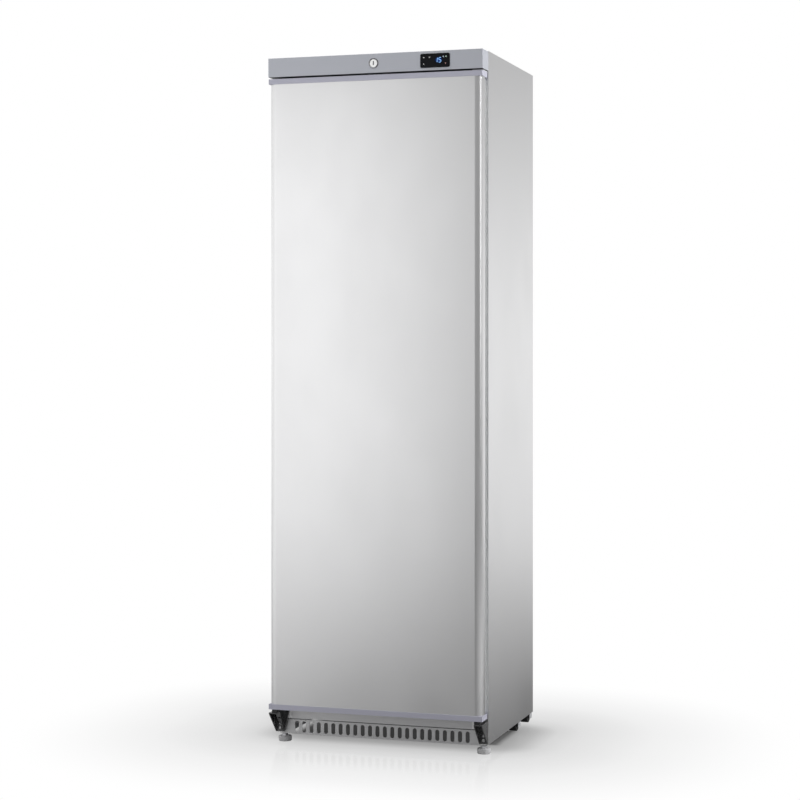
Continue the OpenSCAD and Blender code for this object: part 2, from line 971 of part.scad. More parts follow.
// Lower hinge bracket with two sloping cheeks and a tapered flange
module hinge_bracket(side) {
    color("dimgray")
        handed(side)
            difference() {
                union() {
                    block(
                        [bracket_in_x, panel_front_y, bracket_top_z - bracket_t],
                        [bracket_out_x, face_y, bracket_top_z]
                    );
                    for (x = [bracket_in_x, bracket_out_x - bracket_t])
                        along_x(x, x + bracket_t)
                            polygon([
                                [panel_front_y, bracket_top_z],
                                [face_y, bracket_top_z],
                                [face_y, bracket_tip_z],
                                [face_y - bracket_t - 2, bracket_tip_z],
                                [panel_front_y, bracket_top_z - bracket_t]
                            ]);
                    along_y(face_y - bracket_t, face_y)
                        polygon([
                            [bracket_in_x - flange_over, bracket_top_z],
                            [bracket_out_x, bracket_top_z],
                            [bracket_out_x, bracket_tip_z],
                            [bracket_in_x, bracket_tip_z]
                        ]);
                }
                translate([hinge_x, hinge_y, bracket_top_z - bracket_t - cut])
                    cylinder(h = bracket_t + 2 * cut, r = pin_r);
                hinge_screw_holes(screw_r + fit_gap);
            }
}

// Plastic pads between the brackets and the door
module hinge_pads() {
    color("black")
        for (side = [-1, 1])
            handed(side)
                difference() {
                    block(
                        [bracket_in_x, panel_front_y + pad_front_in, bracket_top_z],
                        [bracket_out_x - pad_side_in, face_y - pad_front_in, bracket_top_z + pad_t]
                    );
                    translate([hinge_x, hinge_y, bracket_top_z - cut])
                        cylinder(h = pad_t + 2 * cut, r = pin_r + fit_gap);
                }
}

// Lower and upper hinge pins
module hinge_pins() {
    color("silver")
        translate([hinge_x, hinge_y, 0]) {
            translate([0, 0, bracket_top_z - bracket_t - 3])
                cylinder(h = 3, r = pin_r + pin_head);
            translate([0, 0, low_pin_z])
                cylinder(h = door_bottom_z + bush_l - pin_end_gap - low_pin_z, r = pin_r);
            translate([0, 0, door_top_z - bush_l + pin_end_gap])
                cylinder(h = top_plate_z + bracket_t - door_top_z + bush_l - pin_end_gap, r = pin_r);
        }
}

// Angled plate that holds the upper pin, behind the control panel
module top_hinge_plate() {
    color("gray")
        difference() {
            union() {
                block(
                    [top_plate_in_x, hinge_y - 14, top_plate_z],
                    [top_plate_in_x + top_plate_w, face_y, top_plate_z + bracket_t]
                );
                block(
                    [top_plate_in_x, face_y - bracket_t, top_plate_z],
                    [top_plate_in_x + top_plate_w, face_y, top_plate_z + top_flange_h]
                );
            }
            translate([hinge_x, hinge_y, top_plate_z - cut])
                cylinder(h = bracket_t + 2 * cut, r = pin_r);
            hinge_screw_holes(screw_r + fit_gap);
        }
}

// One pan-head screw in a hinge flange
module hinge_screw(x, z) {
    bar([x, face_y - bracket_t - screw_head_t, z], [x, face_y - bracket_t, z], screw_head_r);
    bar([x, face_y - bracket_t - 1, z], [x, face_y + screw_l, z], screw_r);
}

// Screws of both lower brackets and the upper plate
module hinge_screws() {
    color("silver") {
        for (side = [-1, 1], z = low_screw_z)
            handed(side)
                hinge_screw(screw_x, z);
        for (z = top_screw_z)
            hinge_screw(top_screw_x, z);
    }
}

// Wire shelf on the liner's ledges
module shelf(i) {
    rod_z = ledge_top(i) + rod_r + 0.2;
    wire_z = rod_z + rod_r + wire_r - weld;
    wire_half = shelf_half - 2 * wire_r;
    color("whitesmoke") {
        for (y = [shelf_y0 + 10, (shelf_y0 + shelf_y1) / 2, shelf_y1 - 10])
            bar([-shelf_half, y, rod_z], [shelf_half, y, rod_z], rod_r);
        for (k = [0 : wire_gaps])
            bar(
                [-wire_half + k * 2 * wire_half / wire_gaps, shelf_y0, wire_z],
                [-wire_half + k * 2 * wire_half / wire_gaps, shelf_y1, wire_z],
                wire_r
            );
    }
}

// Cover that draws air through the fan at the cavity's back
module fan_housing() {
    half = fan_cover_w / 2;
    z0 = fan_z - fan_cover_h / 2;
    z1 = fan_z + fan_cover_h / 2;
    color("whitesmoke")
        difference() {
            block([-half, fan_y0, z0], [half, cav_back_y, z1]);
            block(
                [-half + fan_wall, fan_y0 + fan_wall, z0 + fan_wall],
                [half - fan_wall, cav_back_y + cut, z1 - fan_wall]
            );
            along_y(fan_y0 - cut, fan_y0 + fan_wall + cut)
                translate([0, fan_z])
                    circle(fan_hole_r);
            for (x = [-half + 20 : 20 : half - 20])
                block([x - 4, fan_y0 + 10, z0 - cut], [x + 4, cav_back_y - 8, z0 + fan_wall + cut]);
        }
}

// Ring guard over the fan
module fan_guard() {
    color("silver")
        translate([0, fan_y0 - guard_r, fan_z])
            rotate([90, 0, 0]) {
                for (r = [fan_hole_r + 2, fan_hole_r * 0.7, fan_hole_r * 0.38])
                    rotate_extrude()
                        translate([r, 0])
                            circle(guard_r);
                for (a = [45, 135])
                    rotate([0, 0, a])
                        rotate([0, 90, 0])
                            cylinder(h = 2 * fan_hole_r + 4, r = guard_r - 0.2, center = true);
            }
}

// Motor on the cavity's back wall, with its shaft
module fan_motor() {
    color("dimgray") {
        bar([0, cav_back_y - motor_d, fan_z], [0, cav_back_y, fan_z], motor_r);
        bar([0, fan_hub_y0 + 1, fan_z], [0, cav_back_y - motor_d + 1, fan_z], fan_shaft_r);
    }
}

// Fan wheel with pitched blades
module fan_impeller() {
    color("gray")
        difference() {
            union() {
                bar([0, fan_hub_y0, fan_z], [0, fan_hub_y0 + fan_hub_l, fan_z], fan_hub_r);
                translate([0, fan_hub_y0 + fan_hub_l / 2, fan_z])
                    for (k = [0 : blade_count - 1])
                        rotate([0, k * 360 / blade_count, 0])
                            translate([(fan_hub_r + fan_r) / 2 - 1, 0, 0])
                                rotate([30, 0, 0])
                                    cube([fan_r - fan_hub_r + 2, 1.6, 22], center = true);
            }
            bar(
                [0, fan_hub_y0 - cut, fan_z],
                [0, fan_hub_y0 + fan_hub_l + cut, fan_z],
                fan_shaft_r + pin_clear
            );
        }
}

// Cold plate behind the liner, with its serpentine tube
module evaporator() {
    color("silver") {
        block(
            [-evap_plate_half, evap_y0, evap_z0 - 10],
            [evap_plate_half, evap_y0 + evap_plate_t, evap_z1 + 10]
        );
        serpentine(evap_half, evap_y, evap_z0, evap_pitch, evap_passes, evap_tube_r);
    }
}

// Tube that leads melt water from the cavity's step to the pan
module drain_tube() {
    color("gray")
        difference() {
            union() {
                translate([drain_x, drain_y, drain_end_z])
                    cylinder(h = step_z - drain_end_z + 1, r = drain_r);
                translate([drain_x, drain_y, step_z])
                    cylinder(h = 2, r = drain_r + 5);
            }
            translate([drain_x, drain_y, drain_end_z - cut])
                cylinder(h = step_z - drain_end_z + 4, r = drain_bore_r);
        }
}

// Open pan on the compressor, where melt water evaporates
module evaporation_pan() {
    x0 = comp_x - pan_w / 2;
    x1 = comp_x + pan_w / 2;
    y0 = comp_y - pan_d / 2;
    y1 = comp_y + pan_d / 2;
    color("gray")
        difference() {
            block([x0, y0, comp_top_z], [x1, y1, comp_top_z + pan_h]);
            block(
                [x0 + pan_wall, y0 + pan_wall, comp_top_z + pan_wall],
                [x1 - pan_wall, y1 - pan_wall, comp_top_z + pan_h + cut]
            );
        }
}

// Plate across the runners, with an upright tab for the cord's gland
module compressor_tray() {
    color("gray")
        difference() {
            union() {
                block([-tray_half, tray_y0, base_z], [tray_half, tray_y1, tray_z]);
                block(
                    [gland_x - 35, tray_y1 - tray_t, base_z],
                    [gland_x + 35, tray_y1, base_z + gland_plate_h]
                );
            }
            bar([gland_x, tray_y1 - tray_t - cut, gland_z], [gland_x, tray_y1 + cut, gland_z], gland_r);
        }
}

// Four rubber mounts under the compressor
module compressor_mounts() {
    color("black")
        for (i = [-1, 1], j = [-1, 1])
            translate([comp_x + i * mount_x, comp_y + j * mount_y, tray_z])
                cylinder(h = mount_h, r = mount_r);
}

// Sealed compressor: base plate, shell and seam
module compressor() {
    dome = 40;
    seam_r = comp_r + 4;
    seam_z = comp_h * 0.45;
    seam_h = 5;
    color("black")
        translate([comp_x, comp_y, comp_z]) {
            translate([-comp_plate_w / 2, -comp_plate_d / 2, -comp_plate_t])
                cube([comp_plate_w, comp_plate_d, comp_plate_t]);
            rotate_extrude()
                polygon(concat(
                    [[0, 0], [comp_r - 10, 0], [comp_r, 14], [comp_r, seam_z]],
                    [[seam_r, seam_z], [seam_r, seam_z + seam_h], [comp_r, seam_z + seam_h]],
                    [for (a = [0 : 15 : 60]) [comp_r - dome * (1 - cos(a)), comp_h - dome + dome * sin(a)]],
                    [[comp_flat_r, comp_h], [0, comp_h]]
                ));
        }
}

// Starting relay's cover on the compressor's side
module relay_box() {
    color("dimgray")
        difference() {
            block(
                [comp_x + comp_r - relay_in, comp_y - relay_half, comp_z + relay_up],
                [comp_x + comp_r + relay_out, comp_y + relay_half, comp_z + relay_up + relay_h]
            );
            translate([comp_x, comp_y, comp_z])
                cylinder(h = comp_h, r = comp_r + shell_gap);
        }
}

// Copper drier between the condenser and the capillary
module filter_drier() {
    neck = 12;
    color("peru")
        translate([drier_x, drier_y, drier_z0])
            rotate_extrude()
                polygon([
                    [0, 0],
                    [tube_r, 0],
                    [drier_r, neck],
                    [drier_r, drier_z1 - drier_z0 - neck],
                    [tube_r, drier_z1 - drier_z0],
                    [0, drier_z1 - drier_z0]
                ]);
}

// Hot gas, liquid, capillary and return pipes
module refrigerant_pipes() {
    color("peru") {
        pipe(HOT_ROUTE, tube_r);
        pipe(LIQUID_ROUTE, tube_r);
        pipe(CAPILLARY_ROUTE, cap_r);
        pipe(SUCTION_ROUTE, suction_r);
    }
}

// Condenser's serpentine tube
module condenser_tube() {
    color("black")
        serpentine(pass_half, cond_y, cond_z0, cond_pitch, pass_count, tube_r);
}

// Upright wires on both sides of the condenser's tube
module condenser_wires() {
    z0 = cond_z0 - cond_bar_over;
    z1 = cond_z1 + cond_bar_over;
    color("black") {
        for (z = [z0, z1])
            block(
                [-cond_wire_half - 2, cond_y - cond_wire_off - cond_wire_r, z - cond_bar_t],
                [cond_wire_half + 2, cond_y + cond_wire_off + cond_wire_r, z + cond_bar_t]
            );
        for (k = [0 : cond_wires - 1], side = [-1, 1]) {
            x = -cond_wire_half + k * 2 * cond_wire_half / (cond_wires - 1);
            y = cond_y + side * cond_wire_off;
            bar([x, y, z0], [x, y, z1], cond_wire_r);
        }
    }
}

// Clips that hold the condenser off the back panel
module condenser_clips() {
    color("black")
        for (i = clip_passes, side = [-1, 1]) {
            z = cond_z0 + i * cond_pitch;
            handed(side)
                difference() {
                    block(
                        [clip_x - clip_w / 2, back_y, z - clip_half_h],
                        [clip_x + clip_w / 2, cond_y + tube_r, z + clip_half_h]
                    );
                    bar([clip_x - clip_w, cond_y, z], [clip_x + clip_w, cond_y, z], tube_r + pin_clear);
                }
        }
}

// Gland for the supply cord
module cable_gland() {
    y0 = tray_y1 + 4 - gland_l;
    color("black")
        difference() {
            union() {
                bar([gland_x, y0, gland_z], [gland_x, y0 + gland_l, gland_z], gland_r);
                bar([gland_x, tray_y1, gland_z], [gland_x, tray_y1 + 4, gland_z], gland_r + 3);
            }
            bar([gland_x, y0 - cut, gland_z], [gland_x, y0 + gland_l + cut, gland_z], gland_bore_r);
        }
}

// Plan of the door sheet's outside, with round front corners
module skin_plan(half, y, r) {
    difference() {
        translate([-half, y])
            square([2 * half, grip_y - y]);
        for (side = [-1, 1])
            translate([side * (half - r), y + r])
                difference() {
                    translate([side > 0 ? 0 : -r - cut, -r - cut])
                        square([r + cut, r + cut]);
                    circle(r);
                }
    }
}

// Outer door sheet, wrapped round both edges and folded in behind them
module door_skin() {
    color("lightgray")
        translate([0, 0, skin_z0])
            linear_extrude(skin_z1 - skin_z0)
                difference() {
                    skin_plan(skin_half, skin_y, door_r);
                    intersection() {
                        skin_plan(skin_half - sheet_t, skin_y + sheet_t, door_r - sheet_t);
                        translate([-half_w, skin_y])
                            square([cab_w, grip_y - sheet_t - skin_y]);
                    }
                    translate([-inner_half, grip_y - 2 * sheet_t])
                        square([2 * inner_half, 3 * sheet_t]);
                }
}

// Insulation inside the door
module door_foam() {
    foam_half = inner_half - liner_t;
    color("khaki") {
        translate([0, 0, skin_z0])
            linear_extrude(skin_z1 - skin_z0)
                intersection() {
                    skin_plan(skin_half - sheet_t, skin_y + sheet_t, door_r - sheet_t);
                    translate([-half_w, skin_y])
                        square([cab_w, grip_y - sheet_t - skin_y]);
                }
        block([-foam_half, grip_y - sheet_t - cut, skin_z0], [foam_half, door_back_y - liner_t, skin_z1]);
        block(
            [-cav_half + plug_in + liner_t, door_back_y - liner_t - cut, plug_z0 + liner_t],
            [cav_half - plug_in - liner_t, door_back_y + plug_d - liner_t, plug_z1 - liner_t]
        );
    }
}

// Moulded inner door panel with the raised part that enters the mouth
module door_liner() {
    color("white")
        difference() {
            union() {
                block([-inner_half, grip_y, skin_z0], [inner_half, door_back_y, skin_z1]);
                block(
                    [-cav_half + plug_in, door_back_y - cut, plug_z0],
                    [cav_half - plug_in, door_back_y + plug_d, plug_z1]
                );
            }
            block(
                [-inner_half + liner_t, grip_y - cut, skin_z0 - cut],
                [inner_half - liner_t, door_back_y - liner_t, skin_z1 + cut]
            );
            block(
                [-cav_half + plug_in + liner_t, door_back_y - liner_t - cut, plug_z0 + liner_t],
                [cav_half - plug_in - liner_t, door_back_y + plug_d - liner_t, plug_z1 - liner_t]
            );
        }
}

// End cap of the door, with a bore for the hinge bush
module door_cap(z0) {
    difference() {
        block([-door_half, panel_front_y, z0], [door_half, door_back_y, z0 + cap_h]);
        translate([hinge_x, hinge_y, z0 == door_bottom_z ? z0 - cut : z0 + cap_h - bush_l])
            cylinder(h = bush_l + cut, r = pin_r + pin_clear + bush_t);
    }
}

// Lower end cap
module door_cap_bottom() {
    color("thistle")
        door_cap(door_bottom_z);
}

// Upper end cap with the lock's pocket
module door_cap_top() {
    color("thistle")
        difference() {
            door_cap(skin_z1);
            block(
                [-cam_w / 2 - cam_side_room, cam_y - cam_room, pocket_floor_z],
                [pocket_reach + cam_side_room, cam_y + cam_t + cam_room, door_top_z + cut]
            );
        }
}

// Rectangular ring on the door's back, drawn out between two depths
module seal_ring(inset, w, y0, y1) {
    out = gasket_half - inset;
    z0 = gasket_z0 + inset;
    z1 = gasket_z1 - inset;
    along_y(y0, y1)
        difference() {
            translate([-out, z0])
                square([2 * out, z1 - z0]);
            translate([-out + w, z0 + w])
                square([2 * (out - w), z1 - z0 - 2 * w]);
        }
}

// Magnetic door seal: a foot, a folding waist and a wide face
module door_gasket() {
    y0 = door_back_y;
    y1 = face_y - seat_gap;
    foot_y1 = y0 + (y1 - y0) * 0.25;
    waist_y1 = y0 + (y1 - y0) * 0.55;
    color("gray") {
        seal_ring(5, gasket_w - 10, y0, foot_y1 + 0.1);
        seal_ring(3, gasket_w - 6, foot_y1, waist_y1 + 0.1);
        seal_ring(0, gasket_w, waist_y1, y1);
    }
}

// Plain bushes in the door's caps
module hinge_bushes() {
    color("white")
        for (z = [door_bottom_z, door_top_z - bush_l])
            translate([hinge_x, hinge_y, z])
                difference() {
                    cylinder(h = bush_l, r = pin_r + pin_clear + bush_t);
                    translate([0, 0, -cut])
                        cylinder(h = bush_l + 2 * cut, r = pin_r + pin_clear);
                }
}

side_panel(-1);  // side_panel_left
side_panel(1);  // side_panel_right
top_panel();
back_panel();
base_pan();
bottom_rail();
inner_liner();
insulation_foam();
plinth_grille();
base_runners();
control_panel();
controller_case();
display_lens();
lock_body();
hinge_bracket(-1);  // hinge_bracket_left
hinge_bracket(1);  // hinge_bracket_right
hinge_pads();
hinge_pins();
top_hinge_plate();
hinge_screws();
shelf(0);  // shelf_1
shelf(1);  // shelf_2
shelf(2);  // shelf_3
shelf(3);  // shelf_4
fan_housing();
fan_guard();
fan_motor();
evaporator();
drain_tube();
evaporation_pan();
compressor_tray();
compressor_mounts();
compressor();
relay_box();
filter_drier();
refrigerant_pipes();
condenser_tube();
condenser_wires();
condenser_clips();
cable_gland();
lock_barrel();
lock_cam();
key(KEY_PLACES[0]);  // key_set
key(KEY_PLACES[1]);  // key_light
key(KEY_PLACES[2]);  // key_up
key(KEY_PLACES[3]);  // key_down
foot(-1);  // foot_left
foot(1);  // foot_right
roller(-1, roller_middle_y);  // roller_middle_left
roller(1, roller_middle_y);  // roller_middle_right
roller(-1, roller_rear_y);  // roller_rear_left
roller(1, roller_rear_y);  // roller_rear_right
fan_impeller();
door_skin();
door_foam();
door_liner();
door_cap_top();
door_cap_bottom();
door_gasket();
hinge_bushes();
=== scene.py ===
"""Looks of a commercial upright refrigerator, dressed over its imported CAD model."""

from __future__ import annotations

import json
import logging
import math
from dataclasses import dataclass, field
from enum import Enum
from typing import Callable, Iterable, Sequence

import bmesh
import bpy
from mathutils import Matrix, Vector


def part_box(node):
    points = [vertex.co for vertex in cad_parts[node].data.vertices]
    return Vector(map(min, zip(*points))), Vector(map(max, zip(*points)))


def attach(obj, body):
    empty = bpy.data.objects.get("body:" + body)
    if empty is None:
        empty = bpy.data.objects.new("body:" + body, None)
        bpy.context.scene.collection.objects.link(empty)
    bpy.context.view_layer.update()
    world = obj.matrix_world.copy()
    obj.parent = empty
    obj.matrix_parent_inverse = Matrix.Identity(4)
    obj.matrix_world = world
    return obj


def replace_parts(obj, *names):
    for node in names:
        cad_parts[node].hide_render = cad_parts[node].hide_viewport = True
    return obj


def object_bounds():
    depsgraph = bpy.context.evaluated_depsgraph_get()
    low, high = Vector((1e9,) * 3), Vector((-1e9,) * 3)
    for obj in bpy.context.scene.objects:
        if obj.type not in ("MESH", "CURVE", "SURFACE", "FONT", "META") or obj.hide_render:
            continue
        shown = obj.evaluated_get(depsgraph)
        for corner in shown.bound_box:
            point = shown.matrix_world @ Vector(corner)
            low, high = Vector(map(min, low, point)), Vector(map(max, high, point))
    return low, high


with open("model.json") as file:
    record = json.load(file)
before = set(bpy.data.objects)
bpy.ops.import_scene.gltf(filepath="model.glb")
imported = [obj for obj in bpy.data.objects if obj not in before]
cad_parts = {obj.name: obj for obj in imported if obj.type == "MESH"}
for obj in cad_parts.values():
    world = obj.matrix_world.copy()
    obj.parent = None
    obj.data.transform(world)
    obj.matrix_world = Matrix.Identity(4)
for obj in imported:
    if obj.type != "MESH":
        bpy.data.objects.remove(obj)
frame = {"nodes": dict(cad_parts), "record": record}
CAD_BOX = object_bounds()
LOG = logging.getLogger("refrigerator")
MM = 0.001
MICRON = 0.000001
# Between these two values lies most of a noise
NOISE_RANGE = (0.3, 0.7)
# Edges flatter than the first angle are shaded as round; those sharper than the second are bevelled
ROUND_BELOW = math.radians(32)
BEVEL_ABOVE = math.radians(40)
# Points closer than this, in millimetres, become one
SAME_POINT = 0.0005
Point2 = tuple[float, float]
Point3 = tuple[float, float, float]
Outline = Sequence[Point2]
Socket = bpy.types.NodeSocket
Value = Socket | float | Point3


class Axis(Enum):
    """Direction in which an outline is drawn out, with the two directions that its points use."""

    Y = (1, 0, 2)
    Z = (2, 0, 1)


class Grain(Enum):
    """Surface pattern, as the waves per metre of its noise along x, y and z."""

    UP = (900.0, 900.0, 9.0)
    ACROSS = (9.0, 900.0, 900.0)
    EVEN = (420.0, 420.0, 420.0)
    PEEL = (160.0, 160.0, 160.0)
    COARSE = (60.0, 60.0, 60.0)
    SPECK = (38.0, 38.0, 38.0)
    CLOUD = (5.0, 5.0, 3.0)
    FLOOR = (0.8, 0.8, 0.8)


class Graph:
    """Node tree of a material or of the surround, with short calls for the nodes that the looks use."""

    def __init__(self, owner: bpy.types.Material | bpy.types.World) -> None:
        """Turns on the owner's nodes.

        Args:
            owner: The material or world.
        """
        owner.use_nodes = True
        self.nodes = owner.node_tree.nodes
        self.links = owner.node_tree.links
        self.shader = self.nodes.get("Principled BSDF")

    def add(self, kind: str, *inputs: Value, **settings: object) -> bpy.types.Node:
        """Adds a node.

        Args:
            kind: Type name of the node.
            inputs: Sockets to link or values to set, for its first inputs in order.
            settings: Values of the node's own properties.

        Returns:
            The new node.
        """
        node = self.nodes.new(kind)
        for key, value in settings.items():
            setattr(node, key, value)
        for socket, value in zip(node.inputs, inputs):
            self.put(socket, value)
        return node

    def put(self, socket: Socket, value: Value) -> None:
        """Links a value to an input, or sets the input to it.

        Args:
            socket: The input.
            value: Output of another node, or a number or vector.
        """
        if isinstance(value, Socket):
            self.links.new(value, socket)
        else:
            socket.default_value = value

    def feed(self, node: bpy.types.Node, **inputs: Value) -> bpy.types.Node:
        """Sets or links a node's inputs by name, with underscores for spaces.

        Args:
            node: The node to feed.
            inputs: A socket to link or a value to set, for each input.

        Returns:
            The same node.
        """
        for key, value in inputs.items():
            self.put(node.inputs[key.replace("_", " ")], value)
        return node

    def spot(self, kind: str = "Object") -> Socket:
        """Gives the coordinates of the shaded point, of one kind."""
        return self.add("ShaderNodeTexCoord").outputs[kind]

    def split(self, vector: Socket) -> bpy.types.NodeOutputs:
        """Splits a vector into its parts, by the names X, Y and Z."""
        return self.add("ShaderNodeSeparateXYZ", vector).outputs

    def maths(self, operation: str, first: Value, second: Value, clamp: bool = False) -> Socket:
        """Works out a number from two others, and where asked keeps it between 0 and 1."""
        return self.add("ShaderNodeMath", first, second, operation=operation, use_clamp=clamp).outputs[0]

    def blended(self, share: Socket, first: Socket, second: Socket) -> Socket:
        """Blends two shaders by the share of the second one."""
        return self.add("ShaderNodeMixShader", share, first, second).outputs[0]

    def distance(self, place: Socket, steps: Iterable[tuple[str, Point3]]) -> Socket:
        """Changes a place step by step, and gives its distance from the origin.

        Args:
            place: The place.
            steps: Operation and second vector of each step.

        Returns:
            The distance's socket.
        """
        for operation, other in steps:
            place = self.add("ShaderNodeVectorMath", place, other, operation=operation).outputs["Vector"]
        return self.add("ShaderNodeVectorMath", place, operation="LENGTH").outputs["Value"]

    def mapped(
        self,
        value: Socket,
        source: Point2,
        target: tuple[Value, Value] = (0.0, 1.0),
        smooth: bool = False,
    ) -> Socket:
        """Maps a number from one range to another, where asked with soft ends, and keeps it inside."""
        way = "SMOOTHSTEP" if smooth else "LINEAR"
        return self.add("ShaderNodeMapRange", value, *source, *target, interpolation_type=way).outputs[0]

    def ramp(self, value: Socket, stops: Iterable[tuple[float, Point3]]) -> Socket:
        """Turns a number between 0 and 1 into a colour along a line of stops.

        Args:
            value: The number.
            stops: Place and colour of each stop, in rising order.

        Returns:
            The colour's socket.
        """
        line = self.add("ShaderNodeValToRGB", value)
        stops = list(stops)
        marks = line.color_ramp.elements
        while len(marks) < len(stops):
            marks.new(1.0)
        for mark, (place, colour) in zip(marks, stops):
            mark.position = place
            mark.color = (*colour, 1.0)
        return line.outputs["Color"]

    def levels(self, value: Socket, stops: Sequence[Point2]) -> Socket:
        """Turns a number into another one along a line of stops.

        Args:
            value: The number.
            stops: Pairs of a number and its result, in rising order.

        Returns:
            The result's socket.
        """
        start, end = stops[0][0], stops[-1][0]
        share = self.mapped(value, (start, end))
        return self.ramp(share, (((place - start) / (end - start), (level,) * 3) for place, level in stops))

    def noise(self, grain: Grain, detail: float = 2.0, rough: float = 0.5) -> Socket:
        """Gives noise between 0 and 1.

        Args:
            grain: Its waves along each axis.
            detail: Number of finer layers.
            rough: Weight of the finer layers.

        Returns:
            The noise's socket.
        """
        place = self.feed(self.add("ShaderNodeMapping"), Vector=self.spot(), Scale=grain.value)
        node = self.add("ShaderNodeTexNoise")
        self.feed(node, Vector=place.outputs["Vector"], Scale=1.0, Detail=detail, Roughness=rough)
        return node.outputs["Fac"]

    def painted_shade_below(self, colour: Socket, share: float) -> Socket:
        """Darkens a colour on the faces that look straight down, as painted shade for undersides in shadow.

        Args:
            colour: The colour elsewhere.
            share: What those faces keep of it.

        Returns:
            The colour's socket.
        """
        normal = self.split(self.add("ShaderNodeNewGeometry").outputs["Normal"])
        level = self.mapped(normal["Z"], (-0.95, -0.75), (share, 1.0))
        scaled = self.add("ShaderNodeVectorMath", colour, operation="SCALE")
        return self.feed(scaled, Scale=level).outputs["Vector"]

    def bump(self, heights: Iterable[tuple[Socket, float]]) -> None:
        """Adds layers of bump to the shader's normal.

        Args:
            heights: A height and its depth in metres, for each layer.
        """
        normal = None
        for height, depth in heights:
            node = self.feed(self.add("ShaderNodeBump"), Height=height, Distance=depth, Strength=1.0)
            if normal is not None:
                self.feed(node, Normal=normal)
            normal = node.outputs["Normal"]
        self.feed(self.shader, Normal=normal)

    def background_rays(self) -> Socket:
        """Gives 1 for the rays that show the background, and 0 for those that light the object."""
        rays = self.add("ShaderNodeLightPath").outputs
        return self.maths("MAXIMUM", rays["Is Camera Ray"], rays["Is Transmission Ray"])


@dataclass(frozen=True)
class Finish:
    """One surface finish of the refrigerator.

    Attributes:
        name: Name of the material.
        colour: Linear base colour.
        metallic: 1 for bare metal, 0 for the rest.
        roughness: Mean roughness.
        grain: Pattern of the fine relief.
        depth: Depth of the fine relief in micrometres.
        spread: How far the roughness strays from its mean.
        mottle: How far the colour strays from its mean, as a share.
        specular: Level of the clear reflection of a non-metal.
        coat: Weight of a clear coat.
        sheen: Weight of a soft sheen, for rubber.
        under: Share of the colour that faces looking straight down keep, as painted shade for undersides in
            shadow.
    """

    name: str
    colour: Point3
    metallic: float = 0.0
    roughness: float = 0.45
    grain: Grain = Grain.EVEN
    depth: float = 20
    spread: float = 0.06
    mottle: float = 0.03
    specular: float = 0.5
    coat: float = 0.0
    sheen: float = 0.0
    under: float = 1.0

    def material(self) -> bpy.types.Material:
        """Builds the material once, and gives the same one at each later call."""
        return bpy.data.materials.get(self.name) or self.build()

    def build(self) -> bpy.types.Material:
        """Builds the node tree of the finish.

        Returns:
            The new material.
        """
        material = bpy.data.materials.new(self.name)
        graph = Graph(material)
        fine = graph.noise(self.grain, detail=3.0, rough=0.6)
        wide = graph.noise(Grain.CLOUD, detail=4.0, rough=0.55)
        specks = graph.noise(Grain.SPECK, detail=5.0, rough=0.7)
        tones = (self.shade(1 - self.mottle), self.shade(1 + self.mottle))
        colour = graph.ramp(wide, zip(NOISE_RANGE, tones))
        # Faces that look straight down get painted shade: their colour is scaled down to the share under
        if self.under < 1.0:
            colour = graph.painted_shade_below(colour, self.under)
        reach = (self.roughness - self.spread, self.roughness + self.spread)
        rough_wide = graph.mapped(wide, NOISE_RANGE, reach)
        rough_fine = graph.mapped(fine, NOISE_RANGE, (-self.spread / 2, self.spread / 2))
        rough = graph.maths("ADD", rough_wide, rough_fine, clamp=True)
        graph.feed(graph.shader, Base_Color=colour, Metallic=self.metallic, Roughness=rough)
        graph.feed(graph.shader, Specular_IOR_Level=self.specular, Coat_Weight=self.coat)
        graph.feed(graph.shader, Sheen_Weight=self.sheen)
        depth = self.depth * MICRON
        graph.bump([(specks, depth * 0.6), (fine, depth)])
        self.light(graph)
        return material

    def shade(self, factor: float) -> Point3:
        """Scales the colour and keeps it between 0 and 1."""
        return tuple(min(1.0, max(0.0, part * factor)) for part in self.colour)

    def light(self, graph: Graph) -> None:
        """Adds the finish's own light; most finishes have none."""


@dataclass(frozen=True)
class Glow(Finish):
    """A lit finish of the display: its own colour shines a little.

    Attributes:
        strength: Strength of the light at its brightest.
        dimmest: Share of it where the light is dimmest.
        waves: Scale of the noise between the two.
    """

    strength: float = 1.0
    dimmest: float = 0.75
    waves: float = 600.0

    def light(self, graph: Graph) -> None:
        """Adds light that varies over each segment.

        Args:
            graph: Node tree of the finish.
        """
        speckle = graph.feed(graph.add("ShaderNodeTexNoise"), Scale=self.waves).outputs["Fac"]
        level = graph.mapped(speckle, (0.0, 1.0), (self.strength * self.dimmest, self.strength))
        graph.feed(graph.shader, Emission_Color=(*self.colour, 1.0), Emission_Strength=level)


@dataclass(frozen=True)
class Halo(Finish):
    """Dark window with a soft glow behind the digits, strongest in the middle.

    Attributes:
        glow: Colour of the light.
        strength: Strength of the light in the middle.
        fade: Shares of the field's size between which the light fades out.
    """

    glow: Point3 = (0.01, 0.08, 0.45)
    strength: float = 0.45
    fade: Point2 = (0.1, 0.5)

    def light(self, graph: Graph) -> None:
        """Adds light that fades towards the edge of its field.

        Args:
            graph: Node tree of the finish.
        """
        steps = (("SUBTRACT", (0.5, 0.5, 0.5)), ("MULTIPLY", (1.0, 0.0, 1.0)))
        away = graph.distance(graph.spot("Generated"), steps)
        level = graph.mapped(away, self.fade, (self.strength, 0.0), smooth=True)
        graph.feed(graph.shader, Emission_Color=(*self.glow, 1.0), Emission_Strength=level)


UP, ACROSS, EVEN, PEEL, COARSE = Grain.UP, Grain.ACROSS, Grain.EVEN, Grain.PEEL, Grain.COARSE
